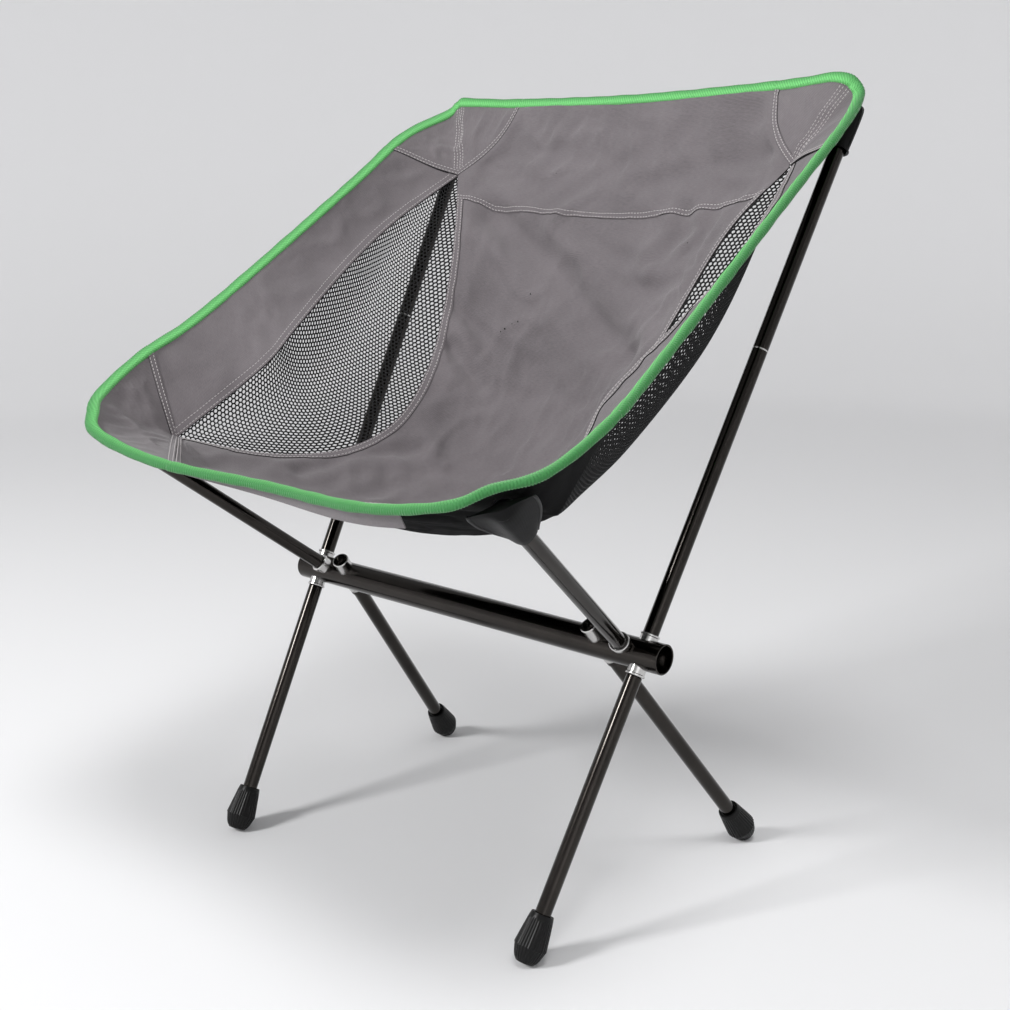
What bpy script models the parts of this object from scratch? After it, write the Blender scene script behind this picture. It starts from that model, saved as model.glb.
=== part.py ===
"""Ultralight backpacking chair: a cross tube with four legs and four poles, and a fabric bucket on the poles.

Metres, +Z up, the sitter faces -Y, the feet stand on z = 0. Everything is mirrored about x = 0: the pieces at
+X are named left, as the sitter would say, and those at -X right. Lengths along a pole or leg are measured
from the cross tube's centre line, positive upwards.
"""

import math

import bmesh
import bpy
import numpy as np
from mathutils import Matrix, Vector

SIDES = {"left": 1, "right": -1}
CLEAR = 0.0004  # between pieces that touch in the real chair

# Cross tube
BAR_HALF_LENGTH = 0.211
BAR_HEIGHT = 0.222
BAR_Y = -0.0074  # puts the origin under the middle of the whole chair
BAR_OUTER = 0.0125
BAR_INNER = 0.0110
BAR_SIDES = 32

# Poles and legs
POLE_OUTER = 0.0065
POLE_INNER = 0.0057
POLE_SIDES = 16
SPIGOT_OUTER = 0.0052
SPIGOT_INNER = 0.0044
CORD_RADIUS = 0.0015
SLEEVE_OUTER = 0.0074
SLEEVE_INNER = 0.0069
RING_OUTER = 0.0086
HOLE_RADIUS = SLEEVE_OUTER + 0.0003

# The lines of the poles and legs: where each crosses the cross tube's centre line, and where it points
FRONT_SLEEVE_X = 0.190
SEAT_SOCKET_X = 0.1735
REAR_SLEEVE_X = 0.150
BACK_DIRECTION = (0.0575, 0.503, 0.862)
SEAT_DIRECTION = (0.185, -0.770, 0.611)
REAR_LEG_DIRECTION = (0.135, 0.607, -0.783)

# Stations along those lines
FRONT_SLEEVE_SPAN = (-0.018, 0.017)
REAR_SLEEVE_SPAN = (-0.0245, 0.017)
SOCKET_SPAN = (0.005, 0.0195)
BACK_POLE_START = -0.010
BACK_POLE_JOINT = 0.266
BACK_POLE_END = 0.472
FERRULE_HALF = 0.035
SEAT_POLE_START = 0.007
SEAT_POLE_END = 0.250
TIP_LENGTH = 0.0135
TIP_RADIUS = 0.0075
FRONT_LEG_START = 0.0186
FRONT_SPIGOT_LENGTH = 0.054
REAR_LEG_INSERT = 0.034
LEG_COLLAR_RADIUS = 0.0074
LEG_COLLAR_LENGTH = 0.004

# Rubber foot, as (distance from its top, radius)
FOOT_PROFILE = (
    (0.0, 0.0088),
    (0.0015, 0.0097),
    (0.024, 0.0131),
    (0.0265, 0.0129),
    (0.0345, 0.0103),
    (0.0385, 0.0074),
)
FOOT_BORE_DEPTH = 0.027
FOOT_BORE = 0.0068
FOOT_SIDES = 20
FOOT_SINK = 0.0012  # how much of the round bottom the flat contact face takes off

# Sling
CLOTH = 0.0016
CLOTH_GAP = 0.0012
BINDING_HALF_WIDTH = 0.0052
BINDING_HALF_THICKNESS = 0.0021
SLING_CENTRE = (0.0, 0.013, 0.40)
SEAM_STATION = 0.47

# Bound edge of the sling, from the middle of the front edge round the left side to the middle of the top edge
EDGE = (
    (0.0, -0.2290, 0.3701),
    (0.116, -0.2389, 0.3734),
    (0.1964, -0.2389, 0.3865),
    (0.2244, -0.2238, 0.3996),
    (0.2492, -0.1982, 0.4097),
    (0.2596, -0.1475, 0.4358),
    (0.2534, -0.0767, 0.4716),
    (0.2464, 0.0941, 0.5771),
    (0.2451, 0.1675, 0.6239),
    (0.2320, 0.2200, 0.6480),
    (0.2240, 0.2290, 0.6590),
    (0.2080, 0.2290, 0.6635),
    (0.1450, 0.2370, 0.6600),
    (0.0, 0.2320, 0.6565),
)
FRONT_PATCH = (0.84, 5.17)  # stations of EDGE between which a corner patch is sewn
TOP_PATCH = (7.70, 12.0)
TOP_MIDDLE = len(EDGE) - 1
BINDING_GAP = 0.02  # in stations of EDGE, at each end of a run of tape

# Inner edge of the side wing, and side edge of the seat and back panel, both from the top end of the mesh to
# its front
WING_EDGE = (
    (0.1905, 0.1912, 0.5912),
    (0.2055, 0.1237, 0.5520),
    (0.2073, 0.0617, 0.5107),
    (0.1915, -0.0269, 0.4531),
    (0.1887, -0.0697, 0.4226),
    (0.2161, -0.1462, 0.3673),
)
PANEL_EDGE = (
    (0.1895, 0.1905, 0.5920),
    (0.1575, 0.1515, 0.5415),
    (0.1343, 0.1129, 0.4776),
    (0.1185, 0.0712, 0.4155),
    (0.1166, 0.0249, 0.3701),
    (0.1323, -0.0272, 0.3489),
    (0.1677, -0.0868, 0.3492),
    (0.2160, -0.1464, 0.3666),
)
MESH_BULGE = (0.024, -0.002, -0.016)

# Middle of the sling, one point for each station of PANEL_EDGE, and then the seam and the top edge
MIDDLE = (
    (0.0, 0.1995, 0.588),
    (0.0, 0.1620, 0.516),
    (0.0, 0.1330, 0.455),
    (0.0, 0.1010, 0.396),
    (0.0, 0.0506, 0.338),
    (0.0, -0.0174, 0.310),
    (0.0, -0.0914, 0.320),
    (0.0, -0.1654, 0.347),
)
HEM_HALF_LENGTH = 0.150
HEM_DEPTH = 0.011

# Corner pockets, as (distance beyond the pole's end, half height, half width over half height)
FRONT_POCKET = (
    (-0.024, 0.0092, 1.15),
    (-0.010, 0.0098, 1.60),
    (0.008, 0.0094, 2.05),
    (0.016, 0.0080, 2.10),
    (0.018, 0.0040, 2.10),
)
TOP_POCKET = (
    (-0.022, 0.0090, 1.04),
    (-0.010, 0.0093, 1.10),
    (0.010, 0.0093, 1.15),
    (0.0165, 0.0084, 1.10),
    (0.0190, 0.0045, 1.10),
)
POCKET_BORE = 0.0082
POCKET_BORE_END = 0.0142


# Colour, metallic and roughness of each material, and the word in a node's name that tells which it takes
MATERIALS = {
    "dark_metal": ((0.030, 0.028, 0.030), 0.9, 0.25),
    "bright_metal": ((0.60, 0.60, 0.60), 1.0, 0.3),
    "rubber": ((0.012, 0.012, 0.012), 0.0, 0.6),
    "moulded_plastic": ((0.015, 0.015, 0.015), 0.0, 0.4),
    "elastic_cord": ((0.02, 0.02, 0.02), 0.0, 0.8),
    "grey_cloth": ((0.18, 0.165, 0.175), 0.0, 0.9),
    "black_cloth": ((0.02, 0.02, 0.02), 0.0, 0.85),
    "black_net": ((0.012, 0.012, 0.012), 0.0, 0.8),
    "green_tape": ((0.13, 0.62, 0.22), 0.0, 0.8),
}
MATERIAL_WORDS = (
    ("cord", "elastic_cord"),
    ("foot", "rubber"),
    ("tip", "moulded_plastic"),
    ("sleeve", "bright_metal"),
    ("socket", "bright_metal"),
    ("binding", "green_tape"),
    ("pocket", "black_cloth"),
    ("mesh", "black_net"),
    ("wing", "grey_cloth"),
    ("panel", "grey_cloth"),
    ("band", "grey_cloth"),
    ("patch", "grey_cloth"),
    ("hem", "grey_cloth"),
)
SHARP_ANGLE = math.radians(40)


def vector(point, side=1):
    return Vector((point[0] * side, point[1], point[2]))


class Line:
    """A pole's centre line through the cross tube. Its direction points away from the tube."""

    def __init__(self, x, direction, side):
        self.origin = Vector((x * side, BAR_Y, BAR_HEIGHT))
        self.direction = vector(direction, side).normalized()

    def at(self, distance):
        return self.origin + self.direction * distance

    def across(self):
        """Two unit vectors square to the line, the first one as level as can be."""
        level = self.direction.cross(Vector((0, 0, 1))).normalized()
        return level, self.direction.cross(level).normalized()


def material_for(name):
    words = name.split("_")
    kind = next((kind for word, kind in MATERIAL_WORDS if word in words), "dark_metal")
    if kind in bpy.data.materials:
        return bpy.data.materials[kind]
    colour, metallic, roughness = MATERIALS[kind]
    material = bpy.data.materials.new(kind)
    material.use_nodes = True
    shader = material.node_tree.nodes["Principled BSDF"]
    shader.inputs["Base Color"].default_value = (*colour, 1)
    shader.inputs["Metallic"].default_value = metallic
    shader.inputs["Roughness"].default_value = roughness
    return material


def add_mesh(name, points, faces):
    """A smooth-shaded object with its material, from a closed set of faces in any order."""
    mesh = bpy.data.meshes.new(name)
    mesh.from_pydata([tuple(point) for point in points], [], faces)
    shape = bmesh.new()
    shape.from_mesh(mesh)
    bmesh.ops.recalc_face_normals(shape, faces=shape.faces)
    shape.to_mesh(mesh)
    shape.free()
    mesh.materials.append(material_for(name))
    mesh.shade_smooth()
    mesh.set_sharp_from_angle(angle=SHARP_ANGLE)
    obj = bpy.data.objects.new(name, mesh)
    bpy.context.scene.collection.objects.link(obj)
    return obj


def hang_on(name, place, pieces):
    """Parents a moving body's pieces to an empty on its joint's axis, where they stay in place."""
    empty = bpy.data.objects.new(name, None)
    empty.location = place
    bpy.context.scene.collection.objects.link(empty)
    for piece in pieces:
        piece.data.transform(Matrix.Translation(-Vector(place)))
        piece.parent = empty


def bridge(first, second, count):
    return [(first + i, first + (i + 1) % count, second + (i + 1) % count, second + i) for i in range(count)]


def turned(name, line, profile, sides=POLE_SIDES, closed=False):
    """A body turned about a line: profile lists (distance, radius[, width factor]).

    An open profile is capped at both ends. A closed one comes back to its start, as a tube's wall does.
    """
    level, square = line.across()
    points, faces = [], []
    for distance, radius, *factor in profile:
        width = factor[0] if factor else 1
        for i in range(sides):
            angle = 2 * math.pi * i / sides
            offset = level * (math.cos(angle) * radius * width) + square * (math.sin(angle) * radius)
            points.append(line.at(distance) + offset)
    rings = len(profile)
    for ring in range(rings if closed else rings - 1):
        faces += bridge(ring * sides, (ring + 1) % rings * sides, sides)
    if not closed:
        faces.append(tuple(range(sides)))
        faces.append(tuple((rings - 1) * sides + i for i in range(sides)))
    return add_mesh(name, points, faces)


def tube(name, line, span, outer, inner, sides=POLE_SIDES):
    start, end = span
    wall = ((start, outer), (end, outer), (end, inner), (start, inner))
    return turned(name, line, wall, sides, closed=True)


def rod(name, line, span, radius, sides=8):
    return turned(name, line, ((span[0], radius), (span[1], radius)), sides)


def cut_with(target, cutter):
    cutter.hide_render = True
    cutter.display_type = "WIRE"
    cut = target.modifiers.new("cut", "BOOLEAN")
    cut.operation = "DIFFERENCE"
    cut.solver = "EXACT"
    cut.object = cutter


def spline(points, at):
    """Catmull-Rom curve through the points: station k is point k."""
    points = np.asarray(points, float)
    last = len(points) - 1
    padded = np.vstack([2 * points[0] - points[1], points, 2 * points[-1] - points[-2]])
    results = []
    for station in np.atleast_1d(at):
        k = int(min(max(math.floor(station), 0), last - 1))
        t = station - k
        before, start, end, after = padded[k : k + 4]
        results.append(
            0.5
            * (
                2 * start
                + (end - before) * t
                + (2 * before - 5 * start + 4 * end - after) * t**2
                + (3 * start - before - 3 * end + after) * t**3
            )
        )
    return np.array(results)


MIRROR = np.array((-1.0, 1.0, 1.0))
HALF_EDGE = np.array(EDGE)
WHOLE_EDGE = np.vstack([HALF_EDGE[:0:-1] * MIRROR, HALF_EDGE, HALF_EDGE[-2::-1] * MIRROR])


def edge(stations):
    """Centre line of the binding. Negative stations, and those past the top middle, are on the right side."""
    return spline(WHOLE_EDGE, np.atleast_1d(stations) + TOP_MIDDLE)


def inwards(stations):
    """Unit vectors from the binding into the sling, square to the binding."""
    stations = np.atleast_1d(stations)
    along = edge(stations + 0.02) - edge(stations - 0.02)
    along /= np.linalg.norm(along, axis=1)[:, None]
    to_centre = np.array(SLING_CENTRE) - edge(stations)
    to_centre -= (to_centre * along).sum(1)[:, None] * along
    return to_centre / np.linalg.norm(to_centre, axis=1)[:, None]


def cloth_edge(stations):
    """Where the cloth starts, just inside the binding."""
    return edge(stations) + inwards(stations) * (BINDING_HALF_WIDTH + CLEAR)


def binding(name, first, last, steps):
    """Oval tape along part of the sling's edge."""
    stations = np.linspace(first, last, steps)
    centre, inward = edge(stations), inwards(stations)
    along = np.gradient(centre, axis=0)
    along /= np.linalg.norm(along, axis=1)[:, None]
    upward = np.cross(along, inward)
    points, faces, sides = [], [], 8
    for c, w, h in zip(centre, inward, upward):
        for i in range(sides):
            angle = 2 * math.pi * i / sides
            across = w * (math.cos(angle) * BINDING_HALF_WIDTH)
            points.append(c + across + h * (math.sin(angle) * BINDING_HALF_THICKNESS))
    for ring in range(steps - 1):
        faces += bridge(ring * sides, (ring + 1) * sides, sides)
    faces.append(tuple(range(sides)))
    faces.append(tuple((steps - 1) * sides + i for i in range(sides)))
    return add_mesh(name, points, faces)


def pulled_in(grid, gap):
    """The grid with its four borders moved inwards, which leaves a gap to the next piece of cloth."""
    grid = grid.copy()
    for axis in (0, 1):
        grid = np.moveaxis(grid, axis, 0)
        for border, inner in ((0, 1), (-1, -2)):
            step = grid[inner] - grid[border]
            length = np.linalg.norm(step, axis=-1, keepdims=True)
            grid[border] = grid[border] + step * np.minimum(gap / np.maximum(length, 1e-6), 0.6)
        grid = np.moveaxis(grid, 0, axis)
    return grid


def grid_normals(grid):
    across = np.gradient(grid, axis=0)
    along = np.gradient(grid, axis=1)
    normals = np.cross(across, along)
    return normals / np.maximum(np.linalg.norm(normals, axis=-1, keepdims=True), 1e-9)


def cloth(name, grid, gap=CLOTH_GAP):
    """A closed sheet of even thickness about a grid of points."""
    grid = pulled_in(np.asarray(grid), gap)
    rows, columns = grid.shape[:2]
    offset = grid_normals(grid) * CLOTH / 2
    points = np.concatenate([(grid + offset).reshape(-1, 3), (grid - offset).reshape(-1, 3)])
    below = rows * columns
    faces = []
    for i in range(rows - 1):
        for j in range(columns - 1):
            a = i * columns + j
            quad = (a, a + 1, a + columns + 1, a + columns)
            faces.append(quad)
            faces.append(tuple(below + k for k in reversed(quad)))
    border = [j for j in range(columns)]
    border += [i * columns + columns - 1 for i in range(1, rows)]
    border += [(rows - 1) * columns + j for j in range(columns - 2, -1, -1)]
    border += [i * columns for i in range(rows - 2, 0, -1)]
    for a, b in zip(border, border[1:] + border[:1]):
        faces.append((b, a, below + a, below + b))
    return add_mesh(name, points, faces)


def across_rows(edge_points, middle_points, columns):
    """Rows of cloth that sag from a side point through a middle point to the mirrored side point."""
    rows = []
    for side_point, middle_point in zip(edge_points, middle_points):
        row = []
        for u in np.linspace(-1, 1, columns):
            rise = abs(u) ** 2
            point = middle_point + (side_point - middle_point) * rise
            point[0] = side_point[0] * u
            row.append(point)
        rows.append(row)
    return np.array(rows)


def between(first, second, steps, bulge=(0, 0, 0)):
    """A sheet from one curve to another, bulging most half way between them and half way along."""
    first, second = np.asarray(first), np.asarray(second)
    along = np.sin(np.linspace(0, math.pi, len(first)))[:, None]
    columns = []
    for t in np.linspace(0, 1, steps):
        columns.append(first * (1 - t) + second * t + np.array(bulge) * along * math.sin(math.pi * t))
    return np.stack(columns, axis=1)


def polyline(corners, steps):
    """Points spread evenly along straight legs between the corners."""
    corners = np.asarray(corners, float)
    lengths = np.linalg.norm(np.diff(corners, axis=0), axis=1)
    stations = np.concatenate([[0], np.cumsum(lengths)])
    at = np.linspace(0, stations[-1], steps)
    return np.stack([np.interp(at, stations, corners[:, k]) for k in range(3)], axis=1)


def make_crossbar():
    line = Line(0, (1, 0, 0), 1)
    bar = tube("crossbar", line, (-BAR_HALF_LENGTH, BAR_HALF_LENGTH), BAR_OUTER, BAR_INNER, BAR_SIDES)
    for side, sign in SIDES.items():
        holes = {
            "front_sleeve": (Line(FRONT_SLEEVE_X, BACK_DIRECTION, sign), (-0.03, 0.03)),
            "rear_sleeve": (Line(REAR_SLEEVE_X, REAR_LEG_DIRECTION, sign), (-0.03, 0.03)),
            "seat_socket": (Line(SEAT_SOCKET_X, SEAT_DIRECTION, sign), (0.004, 0.03)),
        }
        for hole, (axis, span) in holes.items():
            cut_with(bar, rod(f"cut_{hole}_{side}", axis, span, HOLE_RADIUS, POLE_SIDES))


def make_sleeves(side, sign):
    front = Line(FRONT_SLEEVE_X, BACK_DIRECTION, sign)
    tube(f"front_sleeve_{side}", front, FRONT_SLEEVE_SPAN, SLEEVE_OUTER, SLEEVE_INNER)
    rear = Line(REAR_SLEEVE_X, REAR_LEG_DIRECTION, sign)
    tube(f"rear_sleeve_{side}", rear, REAR_SLEEVE_SPAN, SLEEVE_OUTER, SLEEVE_INNER)
    seat = Line(SEAT_SOCKET_X, SEAT_DIRECTION, sign)
    start, end = SOCKET_SPAN
    ring = end - 0.0035
    wall = (
        (start, SLEEVE_OUTER),
        (ring, SLEEVE_OUTER),
        (ring, RING_OUTER),
        (end, RING_OUTER),
        (end, SLEEVE_INNER),
        (start, SLEEVE_INNER),
    )
    turned(f"seat_socket_{side}", seat, wall, closed=True)


def make_tip(name, line, pole_end):
    start = pole_end + CLEAR
    profile = (
        (start - 0.012, SPIGOT_INNER),
        (start, SPIGOT_INNER),
        (start, TIP_RADIUS - 0.0006),
        (start + 0.001, TIP_RADIUS),
        (start + TIP_LENGTH - 0.003, TIP_RADIUS),
        (start + TIP_LENGTH, TIP_RADIUS - 0.003),
    )
    turned(name, line, profile)


def make_back_pole(side, sign):
    line = Line(FRONT_SLEEVE_X, BACK_DIRECTION, sign)
    tube(f"back_pole_lower_{side}", line, (BACK_POLE_START, BACK_POLE_JOINT), POLE_OUTER, POLE_INNER)
    tube(f"back_pole_upper_{side}", line, (BACK_POLE_JOINT + CLEAR, BACK_POLE_END), POLE_OUTER, POLE_INNER)
    ferrule = (BACK_POLE_JOINT - FERRULE_HALF, BACK_POLE_JOINT + FERRULE_HALF)
    tube(f"back_pole_ferrule_{side}", line, ferrule, SPIGOT_OUTER, SPIGOT_INNER)
    make_tip(f"back_pole_tip_{side}", line, BACK_POLE_END)
    rod(f"back_pole_cord_{side}", line, (FRONT_SPIGOT_LENGTH, BACK_POLE_END - 0.013), CORD_RADIUS)


def make_seat_pole(side, sign):
    line = Line(SEAT_SOCKET_X, SEAT_DIRECTION, sign)
    tube(f"seat_pole_{side}", line, (SEAT_POLE_START, SEAT_POLE_END), POLE_OUTER, POLE_INNER)
    make_tip(f"seat_pole_tip_{side}", line, SEAT_POLE_END)
    rod(f"seat_pole_cord_{side}", line, (SEAT_POLE_START + 0.001, SEAT_POLE_END - 0.013), CORD_RADIUS)


def foot_top(line):
    """How far down a leg its foot starts, so that its round bottom sinks FOOT_SINK below the floor."""
    slope = math.sqrt(1 - line.direction.z**2)
    reach = max(-line.direction.z * distance + slope * radius for distance, radius in FOOT_PROFILE)
    return (line.origin.z + FOOT_SINK - reach) / -line.direction.z


def make_foot(name, line, top):
    outside = [(top + distance, radius) for distance, radius in reversed(FOOT_PROFILE)]
    bore = [(top, FOOT_BORE), (top + FOOT_BORE_DEPTH, FOOT_BORE)]
    foot = turned(name, line, outside + bore, FOOT_SIDES)
    shape = bmesh.new()
    shape.from_mesh(foot.data)
    everything = shape.verts[:] + shape.edges[:] + shape.faces[:]
    cut = bmesh.ops.bisect_plane(
        shape, geom=everything, plane_co=(0, 0, 0), plane_no=(0, 0, -1), clear_outer=True
    )
    rim = [item for item in cut["geom_cut"] if isinstance(item, bmesh.types.BMEdge)]
    bmesh.ops.edgeloop_fill(shape, edges=rim)
    bmesh.ops.recalc_face_normals(shape, faces=shape.faces)
    shape.to_mesh(foot.data)
    shape.free()
    return foot


def make_front_leg(side, sign):
    downwards = tuple(-value for value in BACK_DIRECTION)
    line = Line(FRONT_SLEEVE_X, downwards, sign)
    top = foot_top(line)
    end = top + FOOT_BORE_DEPTH - CLEAR
    spigot_end = FRONT_LEG_START - FRONT_SPIGOT_LENGTH
    wall = (
        (end, POLE_OUTER),
        (FRONT_LEG_START, POLE_OUTER),
        (FRONT_LEG_START, SPIGOT_OUTER),
        (spigot_end, SPIGOT_OUTER),
        (spigot_end, SPIGOT_INNER),
        (end, SPIGOT_INNER),
    )
    leg = turned(f"front_leg_{side}", line, wall, closed=True)
    foot = make_foot(f"front_foot_{side}", line, top)
    cord = rod(f"front_leg_cord_{side}", line, (spigot_end, end), CORD_RADIUS)
    hang_on(f"front_leg_{side}_slide", line.origin, (leg, foot, cord))


def make_rear_leg(side, sign):
    line = Line(REAR_SLEEVE_X, REAR_LEG_DIRECTION, sign)
    top = foot_top(line)
    end = top + FOOT_BORE_DEPTH - CLEAR
    collar = REAR_SLEEVE_SPAN[1] + CLEAR
    start = collar - REAR_LEG_INSERT
    wall = (
        (end, POLE_OUTER),
        (collar + LEG_COLLAR_LENGTH, POLE_OUTER),
        (collar + LEG_COLLAR_LENGTH, LEG_COLLAR_RADIUS),
        (collar, LEG_COLLAR_RADIUS),
        (collar, POLE_OUTER),
        (start, POLE_OUTER),
        (start, POLE_INNER),
        (end, POLE_INNER),
    )
    leg = turned(f"rear_leg_{side}", line, wall, closed=True)
    foot = make_foot(f"rear_foot_{side}", line, top)
    cord = rod(f"rear_leg_cord_{side}", line, (start + 0.004, end), CORD_RADIUS)
    hang_on(f"rear_leg_{side}_slide", line.origin, (leg, foot, cord))


def make_pocket(name, line, pole_end, outline):
    """A wide cap over a pole's tip, open towards the cross tube."""
    outside = [(pole_end + distance, height, factor) for distance, height, factor in reversed(outline)]
    mouth = pole_end + outline[0][0]
    bore = [(mouth, POCKET_BORE), (pole_end + POCKET_BORE_END, POCKET_BORE)]
    return turned(name, line, outside + bore)


def make_corner(name, sign, stations, sewn_point, line, pole_end, outline):
    """A sling corner, which pulls off its pole: the pocket, the patch and the patch's run of binding.

    The patch lies between the binding and two seams, which meet at the end of the mesh.
    """
    first, last = stations
    runs = np.linspace(first + 0.12, last - 0.12, 15)
    outer = cloth_edge(runs)
    seams = polyline([cloth_edge(first)[0], np.array(sewn_point), cloth_edge(last)[0]], 19)[2:-2]
    grid = between(outer, seams, 5)
    patch = cloth(f"{name}_patch", grid * np.array((sign, 1, 1)))
    ends = sorted((sign * (first + BINDING_GAP), sign * (last - BINDING_GAP)))
    tape = binding(f"{name}_binding", *ends, 26)
    pocket = make_pocket(f"{name}_pocket", line, pole_end, outline)
    hang_on(f"{name}_slide", line.at(pole_end), (patch, tape, pocket))


def make_corners(side, sign):
    seat_pole = Line(SEAT_SOCKET_X, SEAT_DIRECTION, sign)
    front = f"front_corner_{side}"
    make_corner(front, sign, FRONT_PATCH, PANEL_EDGE[-1], seat_pole, SEAT_POLE_END, FRONT_POCKET)
    back_pole = Line(FRONT_SLEEVE_X, BACK_DIRECTION, sign)
    top = f"top_corner_{side}"
    make_corner(top, sign, TOP_PATCH, PANEL_EDGE[0], back_pole, BACK_POLE_END, TOP_POCKET)


def make_side(side, sign):
    mirror = np.array((sign, 1, 1))
    stations = np.linspace(0, 1, 15)
    wing_edge = spline(WING_EDGE, stations * (len(WING_EDGE) - 1))
    outer = cloth_edge(FRONT_PATCH[1] + (TOP_PATCH[0] - FRONT_PATCH[1]) * stations)
    cloth(f"wing_{side}", between(outer, wing_edge[::-1], 5) * mirror)
    stations = np.linspace(0.05, 0.95, 15)
    wing_edge = spline(WING_EDGE, stations * (len(WING_EDGE) - 1))
    panel_edge = spline(PANEL_EDGE, stations * (len(PANEL_EDGE) - 1))
    cloth(f"mesh_{side}", between(wing_edge, panel_edge, 8, MESH_BULGE) * mirror)


def make_panels():
    seam_to_front = np.linspace(SEAM_STATION, len(PANEL_EDGE) - 1, 16)
    side_curve = np.vstack([spline(PANEL_EDGE, seam_to_front), cloth_edge(FRONT_PATCH[0])])
    middle_curve = np.vstack([spline(MIDDLE, seam_to_front), cloth_edge(0)])
    cloth("seat_back_panel", across_rows(side_curve, middle_curve, 13))

    top_side = cloth_edge(TOP_PATCH[1])[0]
    top_middle = cloth_edge(TOP_MIDDLE)[0]
    seam_to_net = (SEAM_STATION, 0)
    side_curve = np.vstack([spline(PANEL_EDGE, seam_to_net), polyline([PANEL_EDGE[0], top_side], 5)[1:]])
    middle_curve = np.vstack([spline(MIDDLE, seam_to_net), polyline([MIDDLE[0], top_middle], 5)[1:]])
    cloth("upper_back_band", across_rows(side_curve, middle_curve, 13))

    left_end = np.interp(HEM_HALF_LENGTH, HALF_EDGE[:4, 0], np.arange(4))
    under_edge = edge(np.linspace(-left_end, left_end, 13)) + np.array((0, 0.001, -0.0036))
    folded = under_edge + np.array((0, 0.006, -HEM_DEPTH))
    cloth("front_hem", between(under_edge, folded, 3), 0)


def make_bindings():
    front_end = FRONT_PATCH[0] - BINDING_GAP
    binding("binding_front", -front_end, front_end, 9)
    top_end = TOP_PATCH[1] + BINDING_GAP
    binding("binding_top", top_end, 2 * TOP_MIDDLE - top_end, 11)
    first, last = FRONT_PATCH[1] + BINDING_GAP, TOP_PATCH[0] - BINDING_GAP
    binding("binding_side_left", first, last, 15)
    binding("binding_side_right", -last, -first, 15)


def main():
    for obj in list(bpy.data.objects):
        bpy.data.objects.remove(obj)
    make_crossbar()
    for side, sign in SIDES.items():
        make_sleeves(side, sign)
        make_back_pole(side, sign)
        make_seat_pole(side, sign)
        make_front_leg(side, sign)
        make_rear_leg(side, sign)
        make_side(side, sign)
        make_corners(side, sign)
    make_panels()
    make_bindings()


main()
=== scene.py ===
"""Looks of the ultralight backpacking chair: tubes, feet, sling, nets, binding, pockets, stitching and studio.

Everything is in metres in the CAD frame: +Z up, the sitter faces -Y, the sitter's left is +X.
"""

import math

import bpy
import numpy as np
from mathutils import Matrix, Vector, noise


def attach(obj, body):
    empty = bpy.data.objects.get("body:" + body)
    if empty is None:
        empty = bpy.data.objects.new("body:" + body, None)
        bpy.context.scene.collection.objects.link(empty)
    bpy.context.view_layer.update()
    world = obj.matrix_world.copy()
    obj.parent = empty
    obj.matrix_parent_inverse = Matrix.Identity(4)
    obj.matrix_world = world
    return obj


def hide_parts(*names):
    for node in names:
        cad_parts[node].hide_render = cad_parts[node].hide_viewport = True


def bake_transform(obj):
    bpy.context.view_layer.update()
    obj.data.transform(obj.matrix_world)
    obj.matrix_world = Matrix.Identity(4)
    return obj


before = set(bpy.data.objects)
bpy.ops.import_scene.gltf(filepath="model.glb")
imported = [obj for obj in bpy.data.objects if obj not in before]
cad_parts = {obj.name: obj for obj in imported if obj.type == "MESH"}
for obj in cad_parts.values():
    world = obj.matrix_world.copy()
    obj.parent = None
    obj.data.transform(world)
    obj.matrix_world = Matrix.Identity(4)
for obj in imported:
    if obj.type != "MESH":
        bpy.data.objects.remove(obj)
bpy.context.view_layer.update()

ROOT = "frame_and_sling"
SIDES = {"left": 1, "right": -1}

# ---------------------------------------------------------------- sizes, as in the CAD

BAR_HALF_LENGTH = 0.211
BAR_HEIGHT = 0.222
BAR_Y = -0.0074
BAR_OUTER = 0.0125
BAR_INNER = 0.0110
POLE_OUTER = 0.0065
POLE_INNER = 0.0057
SPIGOT_OUTER = 0.0052
SPIGOT_INNER = 0.0044
SLEEVE_OUTER = 0.0074
SLEEVE_INNER = 0.0069
RING_OUTER = 0.0086
CLEAR = 0.0004
FRONT_SLEEVE_X = 0.190
SEAT_SOCKET_X = 0.1735
REAR_SLEEVE_X = 0.150
BACK_DIRECTION = (0.0575, 0.503, 0.862)
SEAT_DIRECTION = (0.185, -0.770, 0.611)
REAR_LEG_DIRECTION = (0.135, 0.607, -0.783)
FRONT_SLEEVE_SPAN = (-0.018, 0.017)
REAR_SLEEVE_SPAN = (-0.0245, 0.017)
SOCKET_SPAN = (0.005, 0.0195)
BACK_POLE_START = -0.010
BACK_POLE_JOINT = 0.266
BACK_POLE_END = 0.472
SEAT_POLE_START = 0.007
SEAT_POLE_END = 0.250
TIP_LENGTH = 0.0135
TIP_RADIUS = 0.0075
FRONT_LEG_START = 0.0186
FRONT_SPIGOT_LENGTH = 0.054
REAR_LEG_INSERT = 0.034
LEG_COLLAR_RADIUS = 0.0074
LEG_COLLAR_LENGTH = 0.004
FOOT_PROFILE = (
    (0.0, 0.0088),
    (0.0015, 0.0097),
    (0.024, 0.0131),
    (0.0265, 0.0129),
    (0.0345, 0.0103),
    (0.0385, 0.0074),
)
FOOT_BORE_DEPTH = 0.027
FOOT_SINK = 0.0012
BINDING_HALF_WIDTH = 0.0052
BINDING_HALF_THICKNESS = 0.0021
SLING_CENTRE = (0.0, 0.013, 0.40)
SEAM_STATION = 0.47

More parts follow.
